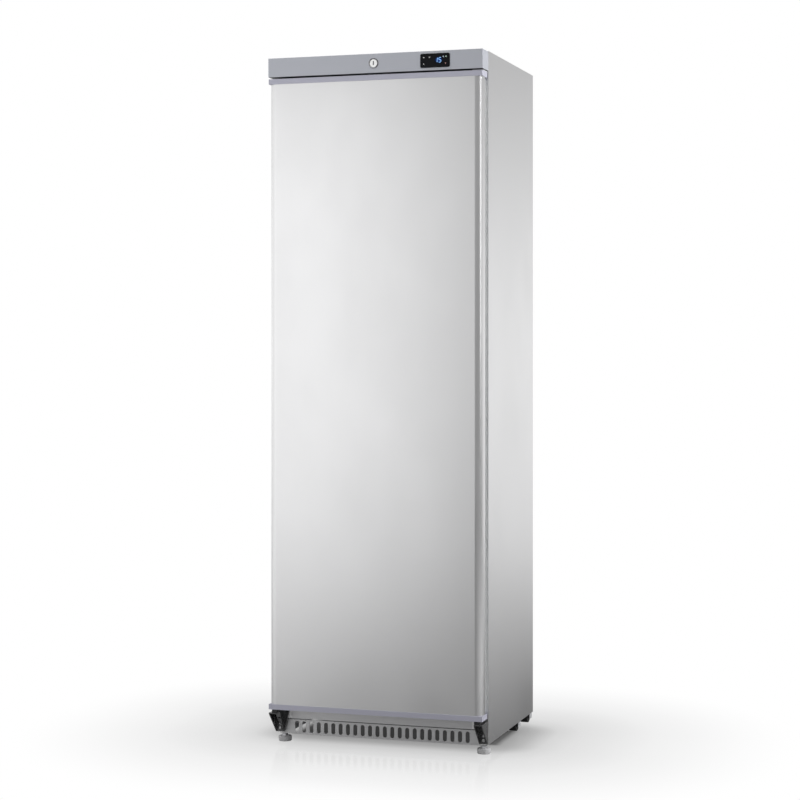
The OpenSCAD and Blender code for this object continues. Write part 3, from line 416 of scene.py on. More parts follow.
# Values after the colour: metallic, roughness, grain, depth, spread, mottle, specular, coat, sheen
CHROME = Finish("lock_chrome", (0.80, 0.80, 0.81), 1.0, 0.14, PEEL, 4, 0.04, 0.02)
PAD = Finish("pad_plastic", (0.012, 0.012, 0.013), 0.0, 0.5, EVEN, 20, 0.05, 0.1)
# The panel's underside keeps 5 % of its colour: painted shade for the gap under the panel
PANEL = Finish("panel_plastic", (0.50, 0.515, 0.565), 0.25, 0.42, EVEN, 10, 0.04, 0.015, under=0.05)
PIN = Finish("pin_steel", (0.56, 0.56, 0.58), 1.0, 0.28, UP, 5, 0.05, 0.05)
BRACKET = Finish("bracket_paint", (0.014, 0.014, 0.016), 0.0, 0.22, PEEL, 20, 0.05, 0.15, 0.9, 1.0)
RUBBER = Finish("mount_rubber", (0.014, 0.014, 0.014), 0.0, 0.78, PEEL, 50, 0.06, 0.2, 0.3, 0.0, 0.2)
GASKET = Finish("gasket_rubber", (0.14, 0.14, 0.155), 0.0, 0.66, PEEL, 30, 0.06, 0.08, 0.35, 0.0, 0.15)
DIGIT = Glow("lit_digit", (0.22, 0.45, 0.80), 0.0, 0.4, strength=0.75)
FIELD = Halo("digit_glow", (0.003, 0.003, 0.005), 0.0, 0.2, specular=0.10)
STAR = Glow("lit_star", (0.55, 0.65, 0.75), 0.0, 0.4, strength=0.8)
RING = Glow("lit_ring", (0.50, 0.68, 0.55), 0.0, 0.4, strength=0.8)
PRINT = Finish("key_print", (0.80, 0.80, 0.80), 0.0, 0.5, EVEN, 10, 0.05, 0.06)
RED_PRINT = Finish("key_print_red", (0.62, 0.36, 0.34), 0.0, 0.5, EVEN, 10, 0.05, 0.06)
# The ring's chrome is darkened to about a quarter of the face's: painted shade, standing in for the dark
# reflection on its rounded edge
SHADED_LOCK_RING = Finish("lock_ring_shaded_chrome", (0.22, 0.22, 0.23), 1.0, 0.20, PEEL, 4, 0.04, 0.02)
LOCK_FACE = Finish("lock_face_chrome", (0.80, 0.80, 0.80), 1.0, 0.22, PEEL, 6, 0.05, 0.03)

SLOT_FINISH: dict[str, Finish] = {
    "stainless_side": Finish("satin_side_steel", (0.76, 0.76, 0.765), 1.0, 0.36, UP, 4, 0.03, 0.012),
    "stainless_door": Finish("satin_door_steel", (0.72, 0.72, 0.725), 1.0, 0.32, UP, 4, 0.03, 0.012),
    "zinc_sheet": Finish("zinc_sheet", (0.50, 0.51, 0.53), 0.85, 0.42, COARSE, 10, 0.08, 0.08),
    "rail_grey": Finish("rail_steel", (0.60, 0.60, 0.605), 0.7, 0.42, ACROSS, 6, 0.05, 0.03),
    "liner_white": Finish("liner_plastic", (0.84, 0.86, 0.86), 0.0, 0.38, EVEN, 4, 0.04, 0.01, 0.4),
    "foam_cream": Finish("insulation", (0.76, 0.64, 0.36), 0.0, 0.9, COARSE, 400, 0.05, 0.08),
    "panel_silver": PANEL,
    "cap_lavender": Finish("cap_plastic", (0.50, 0.50, 0.59), 0.1, 0.40, EVEN, 10, 0.04, 0.015),
    "case_black": Finish("case_plastic", (0.004, 0.004, 0.005), 0.0, 0.20, EVEN, 8, 0.05, 0.2, 0.12),
    "lens_dark": Finish("lens_plastic", (0.003, 0.003, 0.005), 0.0, 0.12, PEEL, 3, 0.03, 0.2, 0.10),
    "key_grey": Finish("key_plastic", (0.006, 0.006, 0.008), 0.0, 0.30, EVEN, 10, 0.05, 0.1, 0.12),
    "lock_chrome": CHROME,
    "bracket_black": BRACKET,
    "pad_black": PAD,
    "pin_steel": PIN,
    "screw_zinc": Finish("screw_zinc", (0.80, 0.80, 0.82), 0.40, 0.34, EVEN, 10, 0.06, 0.06),
    "shelf_white": Finish("shelf_coat", (0.80, 0.82, 0.82), 0.0, 0.34, PEEL, 40, 0.05, 0.02, 0.5, 0.1),
    "fan_plastic": Finish("fan_plastic", (0.72, 0.74, 0.74), 0.0, 0.42, EVEN, 20, 0.05, 0.02),
    "guard_chrome": CHROME,
    "motor_grey": Finish("motor_paint", (0.075, 0.075, 0.085), 0.3, 0.42, PEEL, 30, 0.06, 0.1),
    "cold_plate": Finish("cold_plate", (0.56, 0.57, 0.58), 1.0, 0.38, UP, 10, 0.06, 0.04),
    "drain_grey": Finish("drain_plastic", (0.27, 0.28, 0.29), 0.0, 0.42, EVEN, 20, 0.05, 0.03),
    "pan_grey": Finish("pan_plastic", (0.10, 0.105, 0.11), 0.0, 0.5, EVEN, 30, 0.05, 0.05),
    "mount_rubber": RUBBER,
    "compressor_black": Finish("compressor_paint", (0.012, 0.012, 0.014), 0.0, 0.34, PEEL, 80, 0.08, 0.2),
    "relay_black": PAD,
    "copper": Finish("copper_tube", (0.62, 0.27, 0.14), 1.0, 0.30, EVEN, 10, 0.1, 0.12),
    "condenser_black": Finish("condenser_paint", (0.010, 0.010, 0.012), 0.0, 0.45, PEEL, 40, 0.06, 0.2),
    "gland_black": PAD,
    "foot_grey": Finish("foot_plastic", (0.66, 0.66, 0.67), 0.0, 0.42, EVEN, 30, 0.06, 0.05),
    "roller_black": Finish("roller_plastic", (0.016, 0.016, 0.017), 0.0, 0.55, EVEN, 40, 0.06, 0.2),
    "gasket_grey": GASKET,
    "bush_white": Finish("bush_plastic", (0.76, 0.76, 0.73), 0.0, 0.5, EVEN, 20, 0.05, 0.03),
}

ROLLERS = tuple(f"roller_{row}_{side}" for row in ("middle", "rear") for side in ("left", "right"))
# CAD nodes whose sharp edges are rounded, by the width of the rounding in millimetres
SOFTENED: dict[float, tuple[str, ...]] = {
    0.3: ("top_panel", "bottom_rail", "plinth_grille"),
    0.35: ("side_panel_left", "side_panel_right"),
    0.4: ("top_hinge_plate", "lock_cam", "cable_gland"),
    0.5: ("controller_case",),
    0.6: ("hinge_bracket_left", "hinge_bracket_right", "hinge_pads", "evaporation_pan"),
    0.8: ("control_panel", "door_cap_top", "fan_housing"),
    1.0: ("compressor", "compressor_mounts"),
    1.2: ("door_cap_bottom",),
    1.5: ("inner_liner", "door_liner", "relay_box", *ROLLERS),
}
KEY_NODES = ("key_set", "key_light", "key_up", "key_down")


def rounded_outline(width: float, height: float, radius: float, centre: Point2, steps: int = 6) -> Outline:
    """Gives a rectangle with round corners, anticlockwise from its lower right corner.

    Args:
        width: Size along the first direction.
        height: Size along the second direction.
        radius: Corner radius.
        centre: Middle of the rectangle.
        steps: Facets of each corner.

    Returns:
        The outline's points.
    """
    points = []
    for corner, (side_a, side_b) in enumerate(((1, -1), (1, 1), (-1, 1), (-1, -1))):
        mid_a = centre[0] + side_a * (width / 2 - radius)
        mid_b = centre[1] + side_b * (height / 2 - radius)
        for step in range(steps + 1):
            angle = math.radians(-90 + 90 * corner + 90 * step / steps)
            points.append((mid_a + radius * math.cos(angle), mid_b + radius * math.sin(angle)))
    return points


def round_outline(radius: float, centre: Point2, steps: int, start: float = 0.0) -> Outline:
    """Gives a circle or regular polygon, anticlockwise from a starting angle in degrees."""
    angles = [math.radians(start) + 2 * math.pi * step / steps for step in range(steps)]
    return [(centre[0] + radius * math.cos(a), centre[1] + radius * math.sin(a)) for a in angles]


def turned(shape: Outline, centre: Point2, degrees: float) -> Outline:
    """Turns points anticlockwise about the origin and moves them to a centre."""
    cos, sin = math.cos(math.radians(degrees)), math.sin(math.radians(degrees))
    return [(centre[0] + a * cos - b * sin, centre[1] + a * sin + b * cos) for a, b in shape]


class Builder:
    """Mesh of one piece while it is being made, in millimetres."""

    def __init__(self) -> None:
        """Starts with an empty mesh."""
        self.mesh = bmesh.new()

    def skin(self, lines: Iterable[tuple[Outline, float]], axis: Axis, closed: bool = False) -> Builder:
        """Joins outlines with quads; an open row of outlines also gets a face at each end.

        Args:
            lines: Outlines with the same number of points, and the place of each along the axis.
            axis: Direction of those places; the points use the two directions across it.
            closed: Whether the last outline joins the first.

        Returns:
            The builder.
        """
        rings = []
        for outline, along in lines:
            ring = []
            for place in outline:
                spot = [0.0, 0.0, 0.0]
                for index, value in zip(axis.value, (along, *place)):
                    spot[index] = value
                ring.append(self.mesh.verts.new(spot))
            rings.append(ring)
        pairs = list(zip(rings, rings[1:]))
        if closed:
            pairs.append((rings[-1], rings[0]))
        for low, high in pairs:
            for i in range(len(low)):
                j = (i + 1) % len(low)
                self.mesh.faces.new((low[i], low[j], high[j], high[i]))
        if not closed:
            self.mesh.faces.new(rings[0])
            self.mesh.faces.new(rings[-1])
        return self

    def prism(self, outline: Outline, axis: Axis, low: float, high: float) -> Builder:
        """Draws an outline out along an axis, from one place to another."""
        return self.skin(((outline, low), (outline, high)), axis)

    def collar(self, outer: Outline, inner: Outline, axis: Axis, low: float, high: float) -> Builder:
        """Draws out a plate with one hole; both outlines have the same number of points."""
        return self.skin(((outer, low), (outer, high), (inner, high), (inner, low)), axis, closed=True)

    def block(self, low: Point3, high: Point3) -> Builder:
        """Adds a box between two opposite corners."""
        outline = [(low[0], low[1]), (high[0], low[1]), (high[0], high[1]), (low[0], high[1])]
        return self.prism(outline, Axis.Z, low[2], high[2])

    def lathe(
        self,
        profile: Outline,
        centre: Point2,
        axis: Axis,
        steps: int,
        ring: bool = False,
        wave: Callable[[float, float], float] = lambda angle, along: 0.0,
    ) -> Builder:
        """Turns a profile about an axis.

        Args:
            profile: Radius and place along the axis of each point.
            centre: Place of the axis in the two directions across it.
            axis: Direction of the axis.
            steps: Facets around.
            ring: Whether the profile is closed, and not filled to the axis at its ends.
            wave: Change of the radius at an angle and a place along the axis.

        Returns:
            The builder.
        """
        lines = []
        for radius, along in profile:
            outline = []
            for step in range(steps):
                angle = 2 * math.pi * step / steps
                reach = radius + wave(angle, along)
                outline.append((centre[0] + reach * math.cos(angle), centre[1] + reach * math.sin(angle)))
            lines.append((outline, along))
        return self.skin(lines, axis, closed=ring)

    def made(self, name: str) -> bpy.types.Object:
        """Ends the mesh as an object in metres, with its faces turned outwards.

        Args:
            name: Name of the object.

        Returns:
            The new object.
        """
        bmesh.ops.remove_doubles(self.mesh, verts=self.mesh.verts, dist=SAME_POINT)
        bmesh.ops.recalc_face_normals(self.mesh, faces=self.mesh.faces)
        bmesh.ops.scale(self.mesh, vec=(MM, MM, MM), verts=self.mesh.verts)
        data = bpy.data.meshes.new(name)
        self.mesh.to_mesh(data)
        self.mesh.free()
        obj = bpy.data.objects.new(name, data)
        bpy.context.scene.collection.objects.link(obj)
        return obj

    def piece(
        self,
        name: str,
        body: str,
        slot: str,
        finish: Finish | None = None,
        bevel: float = 0.0,
        cutter: Builder | None = None,
    ) -> bpy.types.Object:
        """Turns the mesh into an object of the refrigerator, with its finish, riding on a CAD body.

        Args:
            name: Name of the piece.
            body: CAD body that it rides on.
            slot: Material slot of the record, whose finish the piece takes where no other is given.
            finish: Its finish, where that isn't the slot's own.
            bevel: Width of the softened edges, in millimetres.
            cutter: Shape that is taken away from the mesh.

        Returns:
            The new object.
        """
        obj = self.made(name)
        if cutter is not None:
            carve(obj, cutter.made(name + "_cutter"))
        data = obj.data
        data.materials.append((finish or SLOT_FINISH[slot]).material())
        if bevel:
            soften(obj, bevel)
        data.shade_smooth()
        data.set_sharp_from_angle(angle=ROUND_BELOW)
        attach(obj, body)
        LOG.info("piece %s rides on %s", name, body)
        return obj


def soften(obj: bpy.types.Object, width: float, weld: bool = False) -> None:
    """Rounds an object's sharp edges with modifiers.

    Args:
        obj: The object.
        width: Width of the rounding in millimetres.
        weld: Whether the faces are split apart and have to be joined first.
    """
    if weld:
        joined = obj.modifiers.new("joined", "WELD")
        joined.merge_threshold = 10 * MICRON
    rounded = obj.modifiers.new("rounded", "BEVEL")
    rounded.width = width * MM
    rounded.segments = 3
    rounded.limit_method = "ANGLE"
    rounded.angle_limit = BEVEL_ABOVE
    rounded.harden_normals = True
    rounded.use_clamp_overlap = True


def carve(obj: bpy.types.Object, cutter: bpy.types.Object) -> None:
    """Takes one object's shape away from another, and removes the cutter.

    Args:
        obj: The object that keeps the rest.
        cutter: The shape to take away.
    """
    change = obj.modifiers.new("carved", "BOOLEAN")
    change.operation = "DIFFERENCE"
    change.solver = "EXACT"
    change.object = cutter
    ready = obj.evaluated_get(bpy.context.evaluated_depsgraph_get())
    mesh = bpy.data.meshes.new_from_object(ready)
    obj.modifiers.clear()
    obj.data = mesh
    bpy.data.objects.remove(cutter)


def place_of(node: str) -> tuple[Vector, Vector]:
    """Gives the lowest and highest corner of a CAD node, in millimetres."""
    low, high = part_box(node)
    return low / MM, high / MM


def middle_of(node: str, axis: Axis = Axis.Y) -> Point2:
    """Gives the middle of a CAD node across an axis, in millimetres."""
    low, high = place_of(node)
    return tuple((low[index] + high[index]) / 2 for index in axis.value[1:])


def size_of(node: str, axis: Axis = Axis.Y) -> Point2:
    """Gives the size of a CAD node across an axis, in millimetres."""
    low, high = place_of(node)
    return tuple(high[index] - low[index] for index in axis.value[1:])


@dataclass
class Controller:
    """Electronic controller in the control panel: window, digits, lamps and keys.

    Attributes:
        sink: How far the window lies behind the foremost plane.
        skim: Half thickness of the printed and lit marks.
        window_corner: Corner radius of the window.
        key_gap: Gap round each key.
        digit_size: Width and height of a digit.
        digit_at: Places of the two digits from the middle of the face.
        stroke: Width of a segment.
        tip_gap: Gap between a segment's tip and the corner of the digit.
        slant: How far a digit leans for each millimetre of height.
        field_share: Width and height of the glow, in digits.
        field_corner: Corner radius of the glow.
        star_at: Place of the lit star from the middle of the face.
        star_arm: Length and half width of the star's arms.
        ring_at: Place of the lit ring from the middle of the face.
        ring_radii: Outer and inner radius of the ring.
        cap_corner: Corner radius of a key's cap.
        cap_thick: Thickness of the cap.
        key_stem: Radius of the stem behind the cap, and how deep it reaches into the cap.
        arrow: Radius of the up and down marks.
        dot: Radius of the middle dot of the other marks.
        ray: Distance and radius of the dots around the light mark.
        side_dot: Radius of the dots beside the set mark.
        keys: CAD body of each key node.
    """

    sink: float = 0.15
    skim: float = 0.1
    window_corner: float = 3.5
    key_gap: float = 0.25
    digit_size: Point2 = (6.0, 12.4)
    digit_at: tuple[Point2, Point2] = ((3.4, 0.9), (13.6, 0.9))
    stroke: float = 1.7
    tip_gap: float = 0.25
    slant: float = 0.13
    field_share: Point2 = (4.0, 1.5)
    field_corner: float = 2.0
    star_at: Point2 = (22.8, 9.2)
    star_arm: Point2 = (1.7, 0.3)
    ring_at: Point2 = (30.2, 9.2)
    ring_radii: Point2 = (1.6, 0.9)
    cap_corner: float = 0.8
    cap_thick: float = 3.2
    key_stem: Point2 = (1.5, 0.2)
    arrow: float = 2.2
    dot: float = 1.2
    ray: Point2 = (1.9, 0.32)
    side_dot: float = 0.5
    keys: dict[str, str] = field(default_factory=lambda: {n: n.split("_")[1] + "_key" for n in KEY_NODES})

    def __post_init__(self) -> None:
        """Reads the face's place from the frame."""
        self.middle = middle_of("controller_case")
        self.level = place_of("controller_case")[0].y + self.sink

    def spot(self, offset: Point2) -> Point2:
        """Gives a place on the face from its distance to the middle."""
        return (self.middle[0] + offset[0], self.middle[1] + offset[1])

    def mark(self, builder: Builder, outline: Sequence[Point2]) -> None:
        """Adds one thin mark on the window or on a key."""
        builder.prism(outline, Axis.Y, self.level - self.skim, self.level + self.skim)

    def window(self) -> None:
        """Makes the dark window with its key openings."""
        low, high = place_of("display_lens")
        outline = rounded_outline(*size_of("display_lens"), self.window_corner, self.middle, 8)
        pane = Builder().prism(outline, Axis.Y, self.level, high.y)
        cutter = Builder()
        room = Vector((self.key_gap, 0.0, self.key_gap))
        for node in self.keys:
            first, last = place_of(node)
            first.y, last.y = low.y - 2, high.y + 2
            cutter.block(first - room, last + room)
        obj = pane.piece("display_window", "cabinet", "lens_dark", bevel=0.12, cutter=cutter)
        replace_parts(obj, "display_lens")

    def segment(self, at: Point2, start: Point2, end: Point2) -> list[Point2]:
        """Gives one pointed segment of a digit.

        Args:
            at: Middle of the digit from the middle of the face.
            start: Where the segment starts, as shares of the digit's half size.
            end: Where it ends.

        Returns:
            The segment's outline.
        """
        half_w, half_h = self.digit_size[0] / 2, self.digit_size[1] / 2
        first = Vector((start[0] * half_w, start[1] * half_h))
        last = Vector((end[0] * half_w, end[1] * half_h))
        along = (last - first).normalized()
        across = Vector((-along.y, along.x)) * self.stroke / 2
        tip = along * self.stroke * 0.5
        space = along * self.tip_gap
        first, last = first + space, last - space
        near, far = first + tip, last - tip
        line = (first, near - across, far - across, last, far + across, near + across)
        return [self.spot((at[0] + place.x + self.slant * place.y, at[1] + place.y)) for place in line]

    def digits(self) -> None:
        """Makes the lit digits 1 and 5 and the soft field behind them."""
        top, mid, low = 1.0, 0.0, -1.0
        strokes = {
            "upper_right": ((1, mid), (1, top)),
            "lower_right": ((1, low), (1, mid)),
            "upper_left": ((-1, mid), (-1, top)),
            "top": ((-1, top), (1, top)),
            "middle": ((-1, mid), (1, mid)),
            "bottom": ((-1, low), (1, low)),
        }
        shown = (("upper_right", "lower_right"), ("top", "upper_left", "middle", "lower_right", "bottom"))
        builder = Builder()
        for at, names in zip(self.digit_at, shown):
            for name in names:
                self.mark(builder, self.segment(at, *strokes[name]))
        builder.piece("display_digits", "cabinet", "lens_dark", DIGIT)
        across = (self.digit_at[0][0] + self.digit_at[1][0]) / 2 + self.digit_size[0] / 4
        centre = self.spot((across, self.digit_at[0][1]))
        width, height = (size * share for size, share in zip(self.digit_size, self.field_share))
        outline = rounded_outline(width, height, self.field_corner, centre)
        glow = Builder().prism(outline, Axis.Y, self.level - self.skim / 2, self.level + self.skim / 2)
        glow.piece("display_glow", "cabinet", "lens_dark", FIELD)

    def lamp_marks(self) -> None:
        """Makes a small star for cooling and a ring for the fan, both lit."""
        star, ring = Builder(), Builder()
        reach, half = self.star_arm
        arm = ((-reach, -half), (reach, -half), (reach, half), (-reach, half))
        for turn in range(3):
            self.mark(star, turned(arm, self.spot(self.star_at), 60 * turn))
        star.piece("display_star", "cabinet", "lens_dark", STAR)
        outer, inner = (round_outline(radius, self.spot(self.ring_at), 24) for radius in self.ring_radii)
        ring.collar(outer, inner, Axis.Y, self.level - self.skim, self.level + self.skim)
        ring.piece("display_ring", "cabinet", "lens_dark", RING)

    def key_pieces(self) -> None:
        """Makes each key's cap and stem, and the mark printed on it."""
        stem, sunk = self.key_stem
        for node, body in self.keys.items():
            centre = middle_of(node)
            outline = rounded_outline(*size_of(node), self.cap_corner, centre, 4)
            back = self.level + self.cap_thick
            cap = Builder().prism(outline, Axis.Y, self.level, back)
            cap.prism(round_outline(stem, centre, 20), Axis.Y, back - sunk, place_of(node)[1].y)
            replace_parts(cap.piece("cap_of_" + node, body, "key_grey", bevel=0.25), node)
            mark = Builder()
            for outline in self.key_marks(node, centre):
                self.mark(mark, outline)
            mark.piece("mark_of_" + node, body, "key_grey", RED_PRINT if node == "key_down" else PRINT)

    def key_marks(self, node: str, centre: Point2) -> list[list[Point2]]:
        """Gives the outlines printed on a key.

        Args:
            node: Name of the key's node.
            centre: Middle of the key.

        Returns:
            The outlines of the mark.
        """
        if node in ("key_up", "key_down"):
            return [round_outline(self.arrow, centre, 3, 90 if node == "key_up" else -90)]
        reach, ray = self.ray
        marks = [round_outline(self.dot, centre, 16)]
        if node == "key_light":
            return marks + [round_outline(ray, spot, 8) for spot in round_outline(reach, centre, 8)]
        sides = [(centre[0] + shift, centre[1]) for shift in (-reach, reach)]
        return marks + [round_outline(self.side_dot, spot, 10) for spot in sides]

    def build(self) -> None:
        """Builds the controller's own pieces."""
        self.window()
        self.digits()
        self.lamp_marks()
        self.key_pieces()


@dataclass
class Lock:
    """Key lock in the control panel: face ring and turning barrel.

    Attributes:
        play: Gap between the barrel and its bore.
        wall: Wall thickness of the sleeve.
        outer_edge: Points of the ring's outer edge, from its radius and its front.
        inner_edge: Points of its inner edge, from the bore's radius and the front.
        sink: How far the barrel's face lies behind the front.
        keyway: Width, height and corner radius of the keyway.
        keyway_deep: Depth of the keyway.
        ward: Width of the ward in the keyway, how much lower it is, its corner radius and two depths.
        turns: Facets around.
    """

    play: float = 0.06
    wall: float = 1.45
    outer_edge: tuple[Point2, ...] = ((0.0, 0.8), (-0.4, 0.25), (-1.1, 0.0))
    inner_edge: tuple[Point2, ...] = ((0.7, 0.0), (0.0, 0.5))
    sink: float = 0.1
    keyway: Point3 = (3.2, 10.0, 0.5)
    keyway_deep: float = 11.0
    ward: tuple[float, ...] = (1.0, 1.5, 0.3, 2.5, 9.0)
    turns: int = 48

    def build(self) -> None:
        """Builds the face ring with its sleeve, the barrel and the ward in its keyway."""
        low, high = place_of("lock_body")
        barrel_low, barrel_high = place_of("lock_barrel")
        centre = middle_of("lock_body")
        ring, front, back = size_of("lock_body")[0] / 2, low.y, high.y
        bore = size_of("lock_barrel")[0] / 2 + self.play
        sleeve = bore + self.wall
        seat = place_of("control_panel")[0].y
        profile = [(bore, back), (sleeve, back), (sleeve, seat), (ring, seat)]
        profile += [(ring + out, front + behind) for out, behind in self.outer_edge]
        profile += [(bore + out, front + behind) for out, behind in self.inner_edge]
        body = Builder().lathe(profile, centre, Axis.Y, 72, ring=True)
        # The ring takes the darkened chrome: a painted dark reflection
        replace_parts(body.piece("lock_ring", "cabinet", "lock_chrome", SHADED_LOCK_RING), "lock_body")
        outer = round_outline(bore - self.play, centre, self.turns, -92.0)
        inner = rounded_outline(*self.keyway, centre, self.turns // 4 - 1)
        face = barrel_low.y + self.sink
        floor = face + self.keyway_deep
        barrel = Builder().collar(outer, inner, Axis.Y, face, floor)
        barrel.prism(outer, Axis.Y, floor, barrel_high.y)
        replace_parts(barrel.piece("lock_cylinder", "lock", "lock_chrome", LOCK_FACE, bevel=0.3), "lock_barrel")
        width, lower, corner, start, end = self.ward
        plate = rounded_outline(width, self.keyway[1] - lower, corner, centre, 3)
        ward = Builder().prism(plate, Axis.Y, face + start, face + end)
        ward.piece("lock_ward", "lock", "lock_chrome", PIN)


@dataclass
class HingeScrews:
    """Pan-head screws of the hinge brackets and the upper plate, with cross recesses.

    Attributes:
        head: Radius of a head.
        head_high: Height of a head.
        crown: Points of the head's outer edge, as a share of its radius and a height.
        flat: Radius of the face that closes the head in its middle.
        shank: Radius of the thread.
        flange: Thickness of the flanges that the screws hold.
        inward: How far a bracket's screws lie in from its outer side.
        lower_rises: Heights of a bracket's screws above its tip.
        upper_rises: Heights of the upper plate's screws above the control panel's lower edge.
        cross: Reach and half width of the recess.
        cross_deep: Depth of the recess.
    """

    head: float = 4.5
    head_high: float = 2.4
    crown: tuple[Point2, ...] = ((1.0, 0.0), (1.0, 0.9), (0.86, 1.8), (0.55, 2.4))
    flat: float = 0.3
    shank: float = 2.0
    flange: float = 3.0
    inward: float = 11.75
    lower_rises: Point2 = (10.0, 22.0)
    upper_rises: Point2 = (12.0, 27.0)
    cross: Point2 = (2.4, 0.55)
    cross_deep: float = 1.5

    def places(self) -> list[Point3]:
        """Gives the seat of each screw, from the places of the brackets and of the upper plate.

        Returns:
            Points on the flanges' fronts.
        """
        left, right = place_of("hinge_bracket_left"), place_of("hinge_bracket_right")
        plate, panel = place_of("top_hinge_plate"), place_of("control_panel")
        rows = (
            (left[0].x + self.inward, left[1].y, left[0].z, self.lower_rises),
            (right[1].x - self.inward, right[1].y, right[0].z, self.lower_rises),
            (middle_of("top_hinge_plate")[0], plate[1].y, panel[0].z, self.upper_rises),
        )
        return [(x, back - self.flange, start + rise) for x, back, start, rises in rows for rise in rises]

    def build(self) -> None:
        """Builds all the screws as one piece."""
        end = place_of("hinge_screws")[1].y
        reach, half = self.cross
        quarter = ((half, -reach), (half, -half), (reach, -half))
        screws, cuts = Builder(), Builder()
        for x, y, z in self.places():
            top = y - self.head_high
            profile = [(self.shank, end), (self.shank, y)]
            profile += [(self.head * share, y - high) for share, high in self.crown]
            profile.append((self.flat, top))
            screws.lathe(profile, (x, z), Axis.Y, 32)
            outline = [place for turn in range(4) for place in turned(quarter, (x, z), 90 * turn)]
            cuts.prism(outline, Axis.Y, top - 1, top + self.cross_deep)
        obj = screws.piece("screws_with_recess", "cabinet", "screw_zinc", cutter=cuts)
        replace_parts(obj, "hinge_screws")


@dataclass
class Foot:
    """One adjustable foot: ribbed disc, hexagon and threaded stem.

    Attributes:
        node: CAD node that it stands for.
        body: CAD body that it rides on.
        disc_high: Height of the disc.
        lower_edge: Points of the disc's lower edge, from its radius and the floor.
        upper_edge: Points of its upper edge, from its radius and its top.
        grip: Height of the smooth bands above and below the grip, and the grip's depth.
        ribs: Number of grip ribs.
        hexagon: Radius of the hexagon to its corners.
        hexagon_high: Height of the hexagon.
        stem: Outer radius of the thread.
        pitch: Pitch of the thread.
        thread_deep: Depth of the thread.
        sunk: How deep the hexagon and the stem reach into what is below them.
    """

    node: str
    body: str
    disc_high: float = 14.0
    lower_edge: tuple[Point2, ...] = ((-3.0, 0.0), (-1.5, 0.0), (-0.2, 1.3), (0.0, 2.5), (0.0, 2.7))
    upper_edge: tuple[Point2, ...] = ((0.0, -2.7), (0.0, -2.5), (-0.5, -0.6), (-1.6, 0.0))
    grip: Point2 = (2.6, 0.45)
    ribs: int = 36
    hexagon: float = 9.2
    hexagon_high: float = 7.0
    stem: float = 5.0
    pitch: float = 1.5
    thread_deep: float = 0.55
    sunk: Point2 = (0.5, 1.0)

    def ribbed(self, angle: float, along: float) -> float:
        """Gives the change of the disc's radius between two ribs."""
        inside = self.grip[0] < along < self.disc_high - self.grip[0]
        return -self.grip[1] * max(0.0, math.cos(self.ribs * angle)) if inside else 0.0

    def threaded(self, angle: float, along: float) -> float:
        """Gives the change of the stem's radius along the thread."""
        phase = (along / self.pitch - angle / (2 * math.pi)) % 1.0
        return -self.thread_deep * abs(2 * phase - 1)

    def build(self) -> None:
        """Builds the foot."""
        centre = middle_of(self.node, Axis.Z)
        radius = size_of(self.node, Axis.Z)[0] / 2
        end = place_of(self.node)[1].z
        disc = [(radius + out, high) for out, high in self.lower_edge]
        disc += [(radius + out, self.disc_high + high) for out, high in self.upper_edge]
        disc.append((self.stem, self.disc_high))
        base = Builder().lathe(disc, centre, Axis.Z, self.ribs * 4, wave=self.ribbed)
        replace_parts(base.piece("disc_of_" + self.node, self.body, "foot_grey"), self.node)
        top = self.disc_high + self.hexagon_high
        foot = self.disc_high - self.sunk[0]
        nut = Builder().prism(round_outline(self.hexagon, centre, 6), Axis.Z, foot, top)
        nut.piece("hexagon_of_" + self.node, self.body, "foot_grey", PIN, bevel=0.7)
        start = top - self.sunk[1]
        rows = int((end - start) / (self.pitch / 4))
        stem = [(self.stem, start + (end - start) * row / rows) for row in range(rows + 1)]
        rod = Builder().lathe(stem, centre, Axis.Z, 24, wave=self.threaded)
        rod.piece("stem_of_" + self.node, self.body, "foot_grey", PIN)


@dataclass
class DoorSeal:
    """Magnetic seal round the back of the door, with its folds.

    Attributes:
        profile: Inset and share of the depth of each point of the section.
    """

    profile: tuple[Point2, ...] = (
        (4.0, 0.0), (18.0, 0.0), (16.0, 0.12), (19.5, 0.24), (16.5, 0.36), (21.4, 0.5), (22.0, 0.64),
        (22.0, 0.92), (21.3, 1.0), (0.7, 1.0), (0.0, 0.92), (0.0, 0.64), (0.6, 0.5), (5.5, 0.36),
        (2.5, 0.24), (6.0, 0.12),
    )

    def build(self) -> None:
        """Runs the section round the door with mitred corners, in place of the CAD node."""
        low, high = place_of("door_gasket")
        lines = []
        for inset, share in self.profile:
            x, z0, z1 = high.x - inset, low.z + inset, high.z - inset
            corners = ((-x, z0), (x, z0), (x, z1), (-x, z1))
            lines.append((corners, low.y + share * (high.y - low.y)))
        seal = Builder().skin(lines, Axis.Y, closed=True)
        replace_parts(seal.piece("folded_seal", "door", "gasket_grey", bevel=0.2), "door_gasket")


@dataclass
class CarriedNodes:
    """The CAD nodes that keep their own shape and only get a finish.

    Attributes:
        slots: Material slot of each node.
        widths: Width of the rounded edges of each softened node.
    """

    slots: dict[str, str] = field(default_factory=dict)
    widths: dict[str, float] = field(default_factory=dict)

    def __post_init__(self) -> None:
        """Reads each node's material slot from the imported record, and its width from the list."""
        self.slots.update((row["node"], row["material_slot"]) for row in frame["record"]["subparts"])
        self.widths.update((node, width) for width, nodes in SOFTENED.items() for node in nodes)

    def dress(self) -> None:
        """Gives every node the finish of its slot."""
        for name, obj in frame["nodes"].items():
            obj.data.materials.clear()
            obj.data.materials.append(SLOT_FINISH[self.slots[name]].material())
            if name in self.widths:
                soften(obj, self.widths[name], weld=True)
            LOG.info("node %s takes slot %s", name, self.slots[name])


